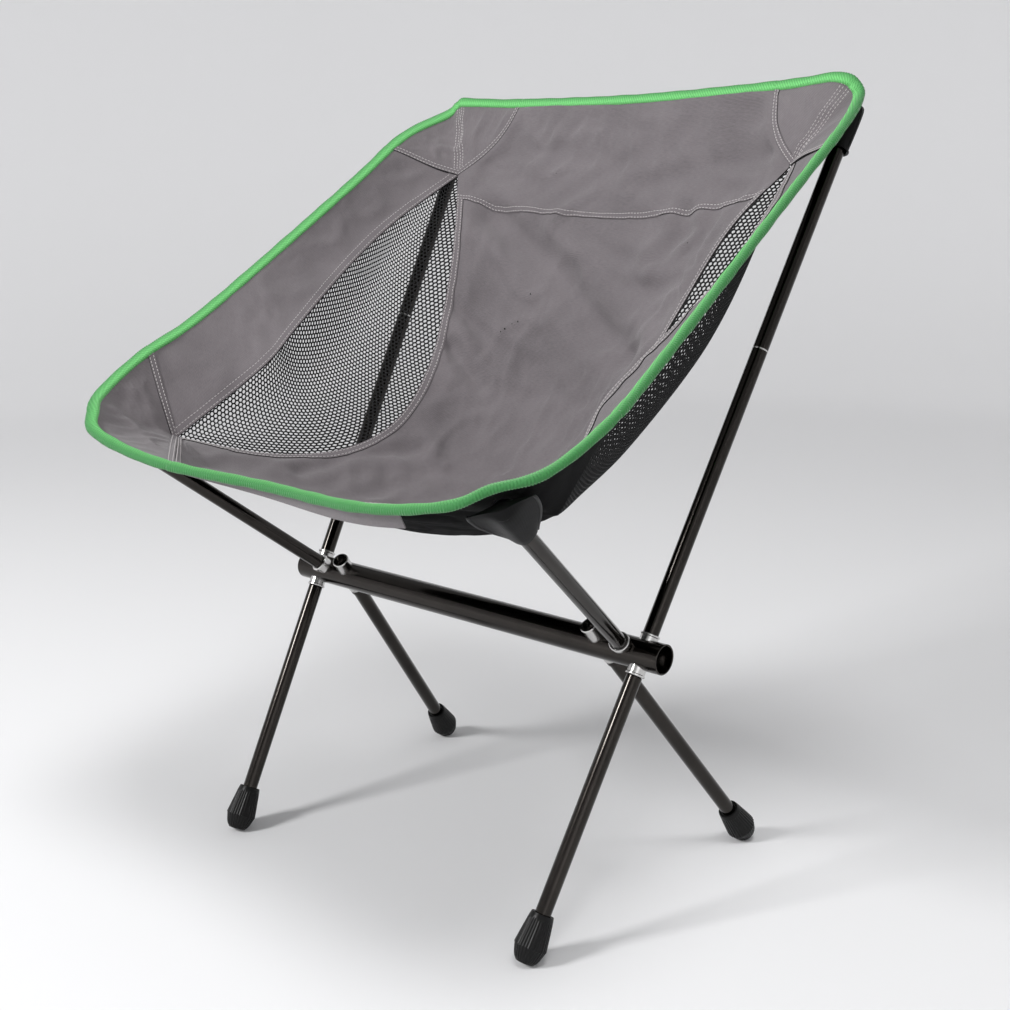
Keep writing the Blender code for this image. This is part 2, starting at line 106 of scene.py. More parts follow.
# Bound edge of the sling, from the middle of the front edge round the left side to the middle of the top edge
EDGE = (
    (0.0, -0.2290, 0.3701),
    (0.116, -0.2389, 0.3734),
    (0.1964, -0.2389, 0.3865),
    (0.2244, -0.2238, 0.3996),
    (0.2492, -0.1982, 0.4097),
    (0.2596, -0.1475, 0.4358),
    (0.2534, -0.0767, 0.4716),
    (0.2464, 0.0941, 0.5771),
    (0.2451, 0.1675, 0.6239),
    (0.2320, 0.2200, 0.6480),
    (0.2240, 0.2290, 0.6590),
    (0.2080, 0.2290, 0.6635),
    (0.1450, 0.2370, 0.6600),
    (0.0, 0.2320, 0.6565),
)
FRONT_PATCH = (0.84, 5.17)  # stations of EDGE between which a corner patch is sewn
TOP_PATCH = (7.70, 12.0)
FRONT_TIP = 3.2  # stations of the corners themselves
TOP_TIP = 10.5
TOP_MIDDLE = len(EDGE) - 1
WING_EDGE = (
    (0.1905, 0.1912, 0.5912),
    (0.2055, 0.1237, 0.5520),
    (0.2073, 0.0617, 0.5107),
    (0.1915, -0.0269, 0.4531),
    (0.1887, -0.0697, 0.4226),
    (0.2161, -0.1462, 0.3673),
)
PANEL_EDGE = (
    (0.1895, 0.1905, 0.5920),
    (0.1575, 0.1515, 0.5415),
    (0.1343, 0.1129, 0.4776),
    (0.1185, 0.0712, 0.4155),
    (0.1166, 0.0249, 0.3701),
    (0.1323, -0.0272, 0.3489),
    (0.1677, -0.0868, 0.3492),
    (0.2160, -0.1464, 0.3666),
)
MESH_BULGE = (0.024, -0.002, -0.016)
MIDDLE = (
    (0.0, 0.1995, 0.588),
    (0.0, 0.1620, 0.516),
    (0.0, 0.1330, 0.455),
    (0.0, 0.1010, 0.396),
    (0.0, 0.0506, 0.338),
    (0.0, -0.0174, 0.310),
    (0.0, -0.0914, 0.320),
    (0.0, -0.1654, 0.347),
)
HEM_HALF_LENGTH = 0.150
HEM_DEPTH = 0.011
POCKET_BORE = 0.0082

# ---------------------------------------------------------------- sizes of what only the looks have

CLOTH = 0.0010
CLOTH_STEP = 0.004
TAPE_HALF_THICKNESS = 0.0031
RIB_PITCH = 0.0021
RIB_DEPTH = 0.10
PIPING_RADIUS = 0.0011
SETTLING = 0.0055  # the sling hangs this much higher on the sitter's left than in the middle, and lower on the right
TURNED_SIDES = 64
EDGE_ROUNDING = 0.0004
BAND_BOW = (-0.009, 0.0, -0.004)  # how far the upper corner patches round out into the band
HEM_WIDTH = 0.008
HEM_LIFT = 0.0008
STITCH_PITCH = 0.0034
STITCH_LENGTH = 0.0024
STITCH_RADIUS = 0.00032
NET_PITCH = 0.0040
NET_STRAND = 0.0011
NET_THICKNESS = 0.0008
FLUTES = 28
FLUTE_DEPTH = 0.00045

# Each sheet is cut so much larger than the space it spans, and that slack goes into wrinkles
SLACK = {"back": 0.026, "wing": 0.012, "patch": 0.014}
MOST_WRINKLE = 0.008
RUMPLE_SIZE = 0.045
RUMPLE_HEIGHT = 0.0042
RUMPLE_BORDER = 0.022
WRINKLE_BORDER = 0.012
CREASE_BORDER = 0.015  # a border stays on the seam it is sewn to
SMOOTHING_PASSES = 4  # they round off folds sharper than the cloth is thick
SIMULATED_FRAMES = 18
SITTER = (0.0, -0.15, 0.62)  # the grey side of every sheet faces this point

# ---------------------------------------------------------------- curves of the sling, as in the CAD


def spline(points, at):
    """Catmull-Rom curve through the points: station k is point k."""
    points = np.asarray(points, float)
    last = len(points) - 1
    padded = np.vstack([2 * points[0] - points[1], points, 2 * points[-1] - points[-2]])
    results = []
    for station in np.atleast_1d(at):
        k = int(min(max(math.floor(station), 0), last - 1))
        t = station - k
        before, start, end, after = padded[k : k + 4]
        results.append(
            0.5
            * (
                2 * start
                + (end - before) * t
                + (2 * before - 5 * start + 4 * end - after) * t**2
                + (3 * start - before - 3 * end + after) * t**3
            )
        )
    return np.array(results)


MIRROR = np.array((-1.0, 1.0, 1.0))
HALF_EDGE = np.array(EDGE)
WHOLE_EDGE = np.vstack([HALF_EDGE[:0:-1] * MIRROR, HALF_EDGE, HALF_EDGE[-2::-1] * MIRROR])


def edge(stations):
    """Centre line of the binding. Negative stations, and those past the top middle, are on the right side."""
    return spline(WHOLE_EDGE, np.atleast_1d(stations) + TOP_MIDDLE)


def unit(vectors):
    return vectors / np.maximum(np.linalg.norm(vectors, axis=-1, keepdims=True), 1e-9)


def inwards(stations):
    """Unit vectors from the binding into the sling, square to the binding."""
    stations = np.atleast_1d(stations)
    along = unit(edge(stations + 0.02) - edge(stations - 0.02))
    to_centre = np.array(SLING_CENTRE) - edge(stations)
    return unit(to_centre - (to_centre * along).sum(1)[:, None] * along)


def cloth_edge(stations):
    """Where the cloth starts, just inside the binding."""
    return edge(stations) + inwards(stations) * BINDING_HALF_WIDTH * 0.6


def across_rows(edge_points, middle_points, columns):
    """Rows of cloth that sag from a side point through a middle point to the mirrored side point."""
    u = np.linspace(-1, 1, columns)[None, :, None]
    side, middle = edge_points[:, None, :], middle_points[:, None, :]
    rows = middle + (side - middle) * u**2
    rows[:, :, 0] = side[:, :, 0] * u[:, :, 0]
    return rows


def between(first, second, steps, bulge=(0, 0, 0)):
    """A sheet from one curve to another, bulging most half way between them and half way along."""
    t = np.linspace(0, 1, steps)[None, :, None]
    along = np.sin(np.linspace(0, math.pi, len(first)))[:, None, None]
    return first[:, None, :] * (1 - t) + second[:, None, :] * t + np.array(bulge) * along * np.sin(math.pi * t)


def lengths_along(points):
    steps = np.linalg.norm(np.diff(points, axis=0), axis=1)
    return np.concatenate([[0], np.cumsum(steps)])


def resampled(points, count):
    """The same line with evenly spread points."""
    stations = lengths_along(points)
    at = np.linspace(0, stations[-1], count)
    return np.stack([np.interp(at, stations, points[:, k]) for k in range(3)], axis=1)


def steps_for(points, step=CLOTH_STEP):
    return max(4, int(round(lengths_along(points)[-1] / step)) + 1)


# ---------------------------------------------------------------- grids of cloth


def grid_normals(grid):
    return unit(np.cross(np.gradient(grid, axis=0), np.gradient(grid, axis=1)))


def facing_sitter(grid):
    """The grid, turned so that its normals point to the sitter's side."""
    middle = grid[grid.shape[0] // 2, grid.shape[1] // 2]
    normal = grid_normals(grid)[grid.shape[0] // 2, grid.shape[1] // 2]
    return grid if normal @ (np.array(SITTER) - middle) > 0 else grid[:, ::-1]


def edge_first(grid, side):
    """The grid seen with one of its borders as column 0."""
    if side == "left":
        return grid
    if side == "right":
        return grid[:, ::-1]
    turned_grid = grid.transpose(1, 0, 2)
    return turned_grid if side == "start" else turned_grid[:, ::-1]


def lines_from_edge(grid, side, distances):
    """Lines of points at each distance from one border, and the normals there: each (points, distances, 3)."""
    rows, normals = edge_first(grid, side), edge_first(grid_normals(grid), side)
    lines = np.empty((len(rows), len(distances), 3))
    line_normals = np.empty_like(lines)
    for i, (row, row_normals) in enumerate(zip(rows, normals)):
        stations = lengths_along(row)
        for k in range(3):
            lines[i, :, k] = np.interp(distances, stations, row[:, k])
            line_normals[i, :, k] = np.interp(distances, stations, row_normals[:, k])
    return lines, unit(line_normals)


def wrinkled(name, grid, slack):
    """The grid after a short cloth simulation with its border held, which turns its slack into wrinkles."""
    rows, columns = grid.shape[:2]
    mesh = bpy.data.meshes.new(f"sim_{name}")
    index = np.arange(rows * columns).reshape(rows, columns)
    quads = np.stack([index[:-1, :-1], index[1:, :-1], index[1:, 1:], index[:-1, 1:]], axis=-1).reshape(-1, 4)
    mesh.from_pydata(grid.reshape(-1, 3).tolist(), [], quads.tolist())
    obj = bpy.data.objects.new(f"sim_{name}", mesh)
    bpy.context.scene.collection.objects.link(obj)
    border = np.concatenate([index[0], index[-1], index[:, 0], index[:, -1]])
    held = obj.vertex_groups.new(name="held")
    held.add(np.unique(border).tolist(), 1.0, "REPLACE")
    cloth = obj.modifiers.new("cloth", "CLOTH")
    cloth.settings.quality = 6
    cloth.settings.mass = 0.12
    cloth.settings.tension_stiffness = 20
    cloth.settings.compression_stiffness = 20
    cloth.settings.shear_stiffness = 8
    cloth.settings.bending_stiffness = 0.25
    cloth.settings.air_damping = 2
    cloth.settings.vertex_group_mass = "held"
    cloth.settings.shrink_min = -slack
    cloth.settings.effector_weights.gravity = 0.15
    cloth.point_cache.frame_start = 1
    cloth.point_cache.frame_end = SIMULATED_FRAMES
    for number in range(1, SIMULATED_FRAMES + 1):
        bpy.context.scene.frame_set(number)
    result = obj.evaluated_get(bpy.context.evaluated_depsgraph_get()).to_mesh()
    points = np.empty(len(result.vertices) * 3)
    result.vertices.foreach_get("co", points)
    bpy.data.objects.remove(obj)
    bpy.context.scene.frame_set(1)
    moved = points.reshape(grid.shape) - grid
    size = np.linalg.norm(moved, axis=-1, keepdims=True)
    moved = moved * np.minimum(1, MOST_WRINKLE / np.maximum(size, 1e-9))
    for _ in range(SMOOTHING_PASSES):
        padded = np.pad(moved, ((1, 1), (1, 1), (0, 0)), mode="edge")
        around = padded[:-2, 1:-1] + padded[2:, 1:-1] + padded[1:-1, :-2] + padded[1:-1, 2:]
        moved = moved * 0.4 + around * 0.15
    return rumpled(grid + moved * border_fade(grid, WRINKLE_BORDER)[:, :, None])


def border_fade(grid, width):
    """0 at the grid's border, 1 further in than width."""
    rows, columns = grid.shape[:2]
    along = np.minimum(np.arange(rows), np.arange(rows)[::-1])[:, None] * CLOTH_STEP
    widths = np.array([lengths_along(row)[-1] for row in grid])
    inwards_by = np.minimum(np.arange(columns), np.arange(columns)[::-1]) / (columns - 1)
    return smooth_step(np.minimum(along, widths[:, None] * inwards_by[None, :]) / width)


def rumpled(grid):
    """The grid with the small soft folds of handled cloth, which fade out towards its border."""
    normals = grid_normals(grid)
    rows, columns = grid.shape[:2]
    fade = border_fade(grid, RUMPLE_BORDER)
    height = np.zeros((rows, columns))
    for row in range(rows):
        for column in range(columns):
            point = Vector(grid[row, column])
            bent = point / RUMPLE_SIZE + noise.noise_vector(point / (RUMPLE_SIZE * 2.2)) * 1.1
            bent.z *= 0.75
            ridge = (1 - abs(noise.noise(bent))) ** 5
            small = (1 - abs(noise.noise(bent * 2.3 + Vector((7, 3, 1))))) ** 4
            height[row, column] = ridge * 0.7 + small * 0.3
    return grid + normals * ((height - 0.35) * fade * RUMPLE_HEIGHT)[:, :, None]


def creased(grid, creases):
    """The grid pushed in along each crease: a line of points, a depth and a half width."""
    points, normals = grid.reshape(-1, 3), grid_normals(grid).reshape(-1, 3)
    shift = np.zeros(len(points))
    for line, depth, half_width in creases:
        line = np.asarray(line, float)
        nearest = np.full(len(points), 1e9)
        for a, b in zip(line, line[1:]):
            t = np.clip(((points - a) @ (b - a)) / ((b - a) @ (b - a)), 0, 1)
            nearest = np.minimum(nearest, np.linalg.norm(points - a - t[:, None] * (b - a), axis=1))
        x = nearest / half_width
        shift -= depth * (np.exp(-(x**2)) - 0.5 * np.exp(-((x - 1.9) ** 2)))
    shift *= border_fade(grid, CREASE_BORDER).reshape(-1)
    return (points + normals * shift[:, None]).reshape(grid.shape)


# ---------------------------------------------------------------- making pieces


def new_object(name, points, faces, materials, face_materials=None, uvs=None):
    mesh = bpy.data.meshes.new(name)
    mesh.from_pydata(np.asarray(points).tolist(), [], [tuple(int(k) for k in face) for face in faces])
    for material in materials:
        mesh.materials.append(material)
    if face_materials is not None:
        mesh.polygons.foreach_set("material_index", np.asarray(face_materials, np.int32))
    if uvs is not None:
        corners = np.empty(len(mesh.loops), np.int32)
        mesh.loops.foreach_get("vertex_index", corners)
        layer = mesh.uv_layers.new(name="UVMap")
        layer.data.foreach_set("uv", np.asarray(uvs)[corners].astype(np.float32).ravel())
    mesh.shade_smooth()
    obj = bpy.data.objects.new(name, mesh)
    bpy.context.scene.collection.objects.link(obj)
    return obj


def grid_quads(rows, columns, first=0):
    index = np.arange(rows * columns).reshape(rows, columns) + first
    return np.stack([index[:-1, :-1], index[1:, :-1], index[1:, 1:], index[:-1, 1:]], axis=-1).reshape(-1, 4)


def metric_uvs(grid):
    """Each grid point's place on the cloth in metres, across and along."""
    across = np.array([lengths_along(row) - lengths_along(row)[-1] / 2 for row in grid])
    middle = lengths_along(grid[:, grid.shape[1] // 2])
    along = np.repeat(middle[:, None], grid.shape[1], axis=1)
    return np.stack([across, along], axis=-1).reshape(-1, 2)


def cloth_piece(name, grid, inner, outer, thickness=CLOTH, lift=0.0):
    """A thin closed sheet about a grid: the inner material faces the grid's normals."""
    rows, columns = grid.shape[:2]
    normals = grid_normals(grid)
    top = grid + normals * (thickness / 2 + lift)
    bottom = grid - normals * (thickness / 2 - lift)
    points = np.concatenate([top.reshape(-1, 3), bottom.reshape(-1, 3)])
    count = rows * columns
    front = grid_quads(rows, columns)
    back = grid_quads(rows, columns, count)[:, ::-1]
    index = np.arange(count).reshape(rows, columns)
    loop = np.concatenate([index[:-1, 0], index[-1, :-1], index[:0:-1, -1], index[0, :0:-1]])
    after = np.roll(loop, -1)
    rim = np.stack([after, loop, loop + count, after + count], axis=1)
    faces = np.concatenate([front, back, rim])
    kinds = np.concatenate([np.zeros(len(front)), np.ones(len(back)), np.ones(len(rim))])
    uvs = np.tile(metric_uvs(grid), (2, 1))
    obj = new_object(name, points, faces, (inner, outer), kinds, uvs)
    obj.data.set_sharp_from_angle(angle=math.radians(60))
    return obj


def stitching(name, lines, material, lift=0.0):
    """Rows of short raised stitches. lines holds (points, normals) pairs."""
    centres, directions, normals = [], [], []
    for line, line_normals in lines:
        stations = lengths_along(line)
        if stations[-1] < 2 * STITCH_PITCH:
            continue
        at = np.arange(STITCH_PITCH / 2, stations[-1] - STITCH_PITCH / 4, STITCH_PITCH)
        centre = np.stack([np.interp(at, stations, line[:, k]) for k in range(3)], axis=1)
        normal = unit(np.stack([np.interp(at, stations, line_normals[:, k]) for k in range(3)], axis=1))
        ahead = np.stack([np.interp(at + 1e-3, stations, line[:, k]) for k in range(3)], axis=1)
        behind = np.stack([np.interp(at - 1e-3, stations, line[:, k]) for k in range(3)], axis=1)
        centres.append(centre + normal * lift)
        directions.append(unit(ahead - behind))
        normals.append(normal)
    centres, directions, normals = (np.concatenate(part) for part in (centres, directions, normals))
    sideways = np.cross(directions, normals)
    half, radius = STITCH_LENGTH / 2, STITCH_RADIUS
    ring = [(-radius, 0), (0, radius), (radius, 0), (0, -radius)]
    shape = [centres - directions * half - normals * radius]
    for along in (-0.45, 0.45):
        for side, up in ring:
            shape.append(centres + directions * (half * 2 * along * 0.9) + sideways * side + normals * up)
    shape.append(centres + directions * half - normals * radius)
    points = np.stack(shape, axis=1).reshape(-1, 3)
    one = [(0, 1 + (i + 1) % 4, 1 + i) for i in range(4)]
    one += [(9, 5 + i, 5 + (i + 1) % 4) for i in range(4)]
    quads = [(1 + i, 1 + (i + 1) % 4, 5 + (i + 1) % 4, 5 + i) for i in range(4)]
    faces = []
    for k in range(len(centres)):
        faces += [tuple(10 * k + v for v in face) for face in one + quads]
    return new_object(name, points, faces, (material,))


class Line:
    """A pole's centre line through the cross tube. Its direction points away from the tube."""

    def __init__(self, x, direction, side):
        self.origin = Vector((x * side, BAR_Y, BAR_HEIGHT))
        self.direction = Vector((direction[0] * side, direction[1], direction[2])).normalized()

    def at(self, distance):
        return self.origin + self.direction * distance

    def across(self):
        """Two unit vectors square to the line, the first one as level as can be."""
        level = self.direction.cross(Vector((0, 0, 1))).normalized()
        return level, self.direction.cross(level).normalized()


def rounded_profile(profile, radius=EDGE_ROUNDING):
    """The profile with each corner replaced by two points close to it, so that its edges catch the light."""
    points = [np.array(point[:2], float) for point in profile]
    result = []
    for i, point in enumerate(points):
        for other in (points[i - 1], points[(i + 1) % len(points)]):
            step = other - point
            result.append(point + step * min(radius / max(np.linalg.norm(step), 1e-9), 0.4))
    return result


def turned(name, line, profile, material, closed=True, flute=None):
    """A round body. The profile lists (distance, radius); flute gives (first, last distance) of its flutes."""
    level, square = (np.array(v) for v in line.across())
    sides = TURNED_SIDES if flute is None else FLUTES * 6
    angles = np.linspace(0, 2 * math.pi, sides, endpoint=False)
    rings = []
    for distance, radius in profile:
        radii = np.full(sides, radius)
        if flute is not None and flute[0] < distance < flute[1] and radius > POLE_OUTER + 0.0006:
            radii -= FLUTE_DEPTH * (0.5 - 0.5 * np.cos(angles * FLUTES)) ** 2
        centre = np.array(line.at(distance))
        rings.append(centre + (np.cos(angles) * radii)[:, None] * level + (np.sin(angles) * radii)[:, None] * square)
    points = np.concatenate(rings)
    count = len(rings)
    faces = []
    for ring in range(count if closed else count - 1):
        a, b = ring * sides, (ring + 1) % count * sides
        faces += [(a + i, a + (i + 1) % sides, b + (i + 1) % sides, b + i) for i in range(sides)]
    if not closed:
        faces.append(tuple(range(sides))[::-1])
        faces.append(tuple((count - 1) * sides + i for i in range(sides)))
    distances = np.repeat([p[0] for p in profile], sides)
    uvs = np.stack([np.tile(angles, count) * POLE_OUTER, distances], axis=1)
    obj = new_object(name, points, faces, (material,), uvs=uvs)
    obj.data.set_sharp_from_angle(angle=math.radians(35))
    return obj


def pipe_profile(span, outer, inner):
    start, end = span
    return rounded_profile(((start, outer), (end, outer), (end, inner), (start, inner)))


def place(obj, body, nodes):
    """The piece stands for these CAD nodes and moves with their body."""
    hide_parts(*nodes)
    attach(obj, body)
    return obj


# ---------------------------------------------------------------- materials


class Surface:
    """A Principled material and short ways to add nodes to it."""

    def __init__(self, name, colour, roughness, metallic=0.0, **sockets):
        self.material = bpy.data.materials.new(name)
        self.material.use_nodes = True
        self.tree = self.material.node_tree
        self.shader = self.tree.nodes["Principled BSDF"]
        self.set("Base Color", (*colour, 1))
        self.set("Roughness", roughness)
        self.set("Metallic", metallic)
        for socket, value in sockets.items():
            self.set(socket.replace("_", " "), value)

    def set(self, socket, value):
        self.shader.inputs[socket].default_value = value

    def node(self, kind, **values):
        node = self.tree.nodes.new(kind)
        for key, value in values.items():
            if hasattr(node, key):
                setattr(node, key, value)
            else:
                node.inputs[key.replace("_", " ")].default_value = value
        return node

    def link(self, source, target):
        self.tree.links.new(source, target)

    def math(self, operation, first, second=None):
        node = self.node("ShaderNodeMath", operation=operation)
        for socket, value in zip(node.inputs, (first, second)):
            if value is None:
                continue
            if isinstance(value, (int, float)):
                socket.default_value = value
            else:
                self.link(value, socket)
        return node.outputs[0]

    def coordinates(self, kind="Object"):
        return self.node("ShaderNodeTexCoord").outputs[kind]

    def noise(self, scale, detail=4.0, coordinates=None, stretch=None):
        source = coordinates or self.coordinates()
        if stretch:
            mapping = self.node("ShaderNodeMapping", Scale=stretch)
            self.link(source, mapping.inputs["Vector"])
            source = mapping.outputs[0]
        noise = self.node("ShaderNodeTexNoise", Scale=scale, Detail=detail)
        self.link(source, noise.inputs["Vector"])
        return noise.outputs["Fac"]

    def ramp(self, value, low, high, positions=(0.0, 1.0)):
        """A colour from low to high as value goes between the two positions."""
        ramp = self.node("ShaderNodeValToRGB")
        self.link(value, ramp.inputs[0])
        for element, position, colour in zip(ramp.color_ramp.elements, positions, (low, high)):
            element.position = position
            element.color = (*colour, 1)
        return ramp.outputs[0]

    def between(self, value, low, high):
        node = self.node("ShaderNodeMapRange")
        node.inputs["To Min"].default_value = low
        node.inputs["To Max"].default_value = high
        self.link(value, node.inputs["Value"])
        return node.outputs[0]

    def bump(self, height, distance, strength=1.0, onto=None):
        node = self.node("ShaderNodeBump", Strength=strength, Distance=distance)
        self.link(height, node.inputs["Height"])
        if onto is not None:
            self.link(onto, node.inputs["Normal"])
        self.link(node.outputs[0], self.shader.inputs["Normal"])
        return node.outputs[0]

    def feed(self, value, socket):
        self.link(value, self.shader.inputs[socket])

    def waves(self, pitch, turn=0.0):
        """0 to 1 stripes across the piece's own coordinates in metres, turned by an angle."""
        separate = self.node("ShaderNodeSeparateXYZ")
        self.link(self.coordinates("UV"), separate.inputs[0])
        x = self.math("MULTIPLY", separate.outputs[0], 2 * math.pi / pitch * math.cos(turn))
        y = self.math("MULTIPLY", separate.outputs[1], 2 * math.pi / pitch * math.sin(turn))
        wave = self.math("SINE", self.math("ADD", x, y))
        return self.math("MULTIPLY", self.math("ADD", wave, 1.0), 0.5)


def metal(name, colour, roughness, coat=0.0):
    surface = Surface(name, colour, roughness, metallic=1.0, Coat_Weight=coat, Coat_Roughness=0.08)
    streaks = surface.noise(260, coordinates=surface.coordinates("UV"), stretch=(6.0, 0.6, 1.0))
    surface.feed(surface.between(streaks, roughness * 0.75, roughness * 1.3), "Roughness")
    wear = surface.noise(38, 6)
    dark = tuple(value * 0.8 for value in colour)
    surface.feed(surface.ramp(wear, dark, colour, (0.35, 0.65)), "Base Color")
    surface.bump(streaks, 0.00002, 0.4)
    return surface.material


def woven(name, colour, dark, pitch, roughness=0.85, sheen=0.25, depth=0.00012, gloss=0.3):
    """Plain weave: warp and weft threads pass over each other."""
    surface = Surface(name, colour, roughness, Sheen_Weight=sheen, Sheen_Roughness=0.5)
    surface.set("Specular IOR Level", gloss)
    warp, weft = surface.waves(pitch), surface.waves(pitch, math.pi / 2)
    weave = surface.math("MULTIPLY", warp, weft)
    cloudy = surface.noise(14, 5)
    slubs = surface.noise(900, 2, surface.coordinates("UV"), (0.25, 1.6, 1.0))
    shade = surface.math("ADD", surface.math("MULTIPLY", weave, 0.45), surface.math("MULTIPLY", cloudy, 0.35))
    shade = surface.math("ADD", shade, surface.math("MULTIPLY", slubs, 0.35))
    surface.feed(surface.ramp(shade, dark, colour, (0.15, 0.75)), "Base Color")
    creasing = surface.bump(surface.noise(95, 5), 0.0006, 0.35)
    surface.bump(weave, depth, 0.8, creasing)
    return surface.material


def tape(name, light, dark):
    """Ribbed binding tape: diagonal ribs, and painted shade that keeps it paler towards the cloth and darkens it
    towards its folded outer edge.
    """
    surface = Surface(name, light, 0.7, Sheen_Weight=0.3, Sheen_Roughness=0.4)
    ribs = surface.waves(0.0021, math.radians(35))
    separate = surface.node("ShaderNodeSeparateXYZ")
    surface.link(surface.coordinates("UV"), separate.inputs[0])
    # Painted shade: 0 at the tape's folded outer edge and 1 towards the cloth, so the colour darkens towards the fold
    across = surface.between(separate.outputs[1], 0.0, 1.0)
    node = across.node
    node.inputs["From Min"].default_value = -0.005
    node.inputs["From Max"].default_value = 0.005
    # The colour: rib stripes times the painted shade towards the folded edge
    shade = surface.math("MULTIPLY", surface.math("ADD", surface.math("MULTIPLY", ribs, 0.5), 0.5), across)
    surface.feed(surface.ramp(shade, dark, light, (0.05, 0.7)), "Base Color")
    surface.bump(ribs, 0.0004, 0.8)
    return surface.material


def plain(name, colour, roughness, grain, depth, **sockets):
    """Moulded or painted surface with a fine grain."""
    surface = Surface(name, colour, roughness, **sockets)
    fine = surface.noise(grain, 4)
    surface.feed(surface.between(fine, roughness * 0.85, roughness * 1.15), "Roughness")
    surface.feed(surface.ramp(fine, tuple(v * 0.8 for v in colour), tuple(v * 1.2 for v in colour)), "Base Color")
    surface.bump(fine, depth, 0.6)
    return surface.material


GUNMETAL = metal("gunmetal_anodising", (0.032, 0.028, 0.025), 0.15, coat=0.22)
BARE_METAL = metal("bare_metal_finish", (0.72, 0.71, 0.70), 0.22)
DARK_INSIDE = plain("dark_inside", (0.012, 0.011, 0.011), 0.6, 300, 0.0001)
RUBBER = plain("moulded_rubber", (0.006, 0.006, 0.006), 0.34, 700, 0.0001, Specular_IOR_Level=0.18)
PLASTIC = plain("moulded_nylon", (0.007, 0.007, 0.008), 0.34, 900, 0.00005, Specular_IOR_Level=0.2)
ELASTIC = woven("elastic_braid", (0.03, 0.03, 0.03), (0.01, 0.01, 0.01), 0.0012)
GREY_CLOTH = woven("grey_weave", (0.205, 0.184, 0.194), (0.070, 0.062, 0.067), 0.0011)
BLACK_CLOTH = woven("black_weave", (0.009, 0.009, 0.0095), (0.003, 0.003, 0.003), 0.0011, 0.75, 0.0, gloss=0.05)
NET = woven("black_net", (0.012, 0.012, 0.013), (0.005, 0.005, 0.005), 0.0009, 0.65, 0.02, gloss=0.15)
# The dark green is the colour of the rib stripes and of the painted shade at the tape's folded outer edge
GREEN_TAPE = tape("green_ribbed_tape", (0.16, 0.58, 0.17), (0.03, 0.20, 0.045))
POCKET_CLOTH = woven("coated_pocket_cloth", (0.0065, 0.0065, 0.007), (0.003, 0.003, 0.003), 0.0010, 0.28, 0.0, 0.00005, gloss=0.12)
PIPING_CLOTH = plain("piping_cloth", (0.010, 0.010, 0.011), 0.45, 900, 0.0001)
THREAD = plain("pale_thread", (0.55, 0.52, 0.52), 0.8, 1500, 0.00005)
DARK_THREAD = plain("dark_thread", (0.02, 0.09, 0.04), 0.8, 1500, 0.00005)

# ---------------------------------------------------------------- frame


def make_crossbar():
    line = Line(0, (1, 0, 0), 1)
    line.origin = Vector((0, BAR_Y, BAR_HEIGHT))
    level, square = line.across()
    span = (-BAR_HALF_LENGTH, BAR_HALF_LENGTH)
    bar = turned("visual_crossbar", line, pipe_profile(span, BAR_OUTER, BAR_INNER), GUNMETAL)
    place(bar, ROOT, ("crossbar",))


def rimmed_sleeve(name, line, span, flare):
    """A thin sleeve with a rolled rim at both ends."""
    start, end = span
    rim = SLEEVE_OUTER + flare
    profile = (
        (start, rim - 0.0004),
        (start + 0.0005, rim),
        (start + 0.0014, rim),
        (start + 0.0020, SLEEVE_OUTER),
        (end - 0.0020, SLEEVE_OUTER),
        (end - 0.0014, rim),
        (end - 0.0005, rim),
        (end, rim - 0.0004),
        (end, SLEEVE_INNER),
        (start, SLEEVE_INNER),
    )
    return turned(name, line, profile, BARE_METAL)


def make_sleeves(side, sign):
    front = Line(FRONT_SLEEVE_X, BACK_DIRECTION, sign)
    sleeve = rimmed_sleeve(f"visual_front_sleeve_{side}", front, FRONT_SLEEVE_SPAN, 0.0007)
    place(sleeve, ROOT, (f"front_sleeve_{side}",))
    rear = Line(REAR_SLEEVE_X, REAR_LEG_DIRECTION, sign)
    sleeve = rimmed_sleeve(f"visual_rear_sleeve_{side}", rear, REAR_SLEEVE_SPAN, 0.0003)
    place(sleeve, ROOT, (f"rear_sleeve_{side}",))
    seat = Line(SEAT_SOCKET_X, SEAT_DIRECTION, sign)
    start, end = SOCKET_SPAN
    ring = end - 0.0035
    profile = (
        (start, SLEEVE_OUTER),
        (ring, SLEEVE_OUTER),
        (ring + 0.0004, RING_OUTER),
        (end - 0.0006, RING_OUTER),
        (end, RING_OUTER - 0.0006),
        (end, SLEEVE_INNER),
        (start, SLEEVE_INNER),
    )
    socket = turned(f"visual_seat_socket_{side}", seat, profile, BARE_METAL)
    place(socket, ROOT, (f"seat_socket_{side}",))


def make_pole(name, line, span, node):
    pole = turned(name, line, pipe_profile(span, POLE_OUTER, POLE_INNER), GUNMETAL)
    place(pole, ROOT, (node,))


def make_tip(name, line, pole_end, node):
    start = pole_end + CLEAR
    profile = (
        (start - 0.012, SPIGOT_INNER),
        (start, SPIGOT_INNER),
        (start, TIP_RADIUS - 0.0006),
        (start + 0.001, TIP_RADIUS),
        (start + TIP_LENGTH - 0.004, TIP_RADIUS),
        (start + TIP_LENGTH - 0.001, TIP_RADIUS - 0.0016),
        (start + TIP_LENGTH, TIP_RADIUS - 0.003),
    )
    tip = turned(name, line, profile, PLASTIC, closed=False)
    place(tip, ROOT, (node,))


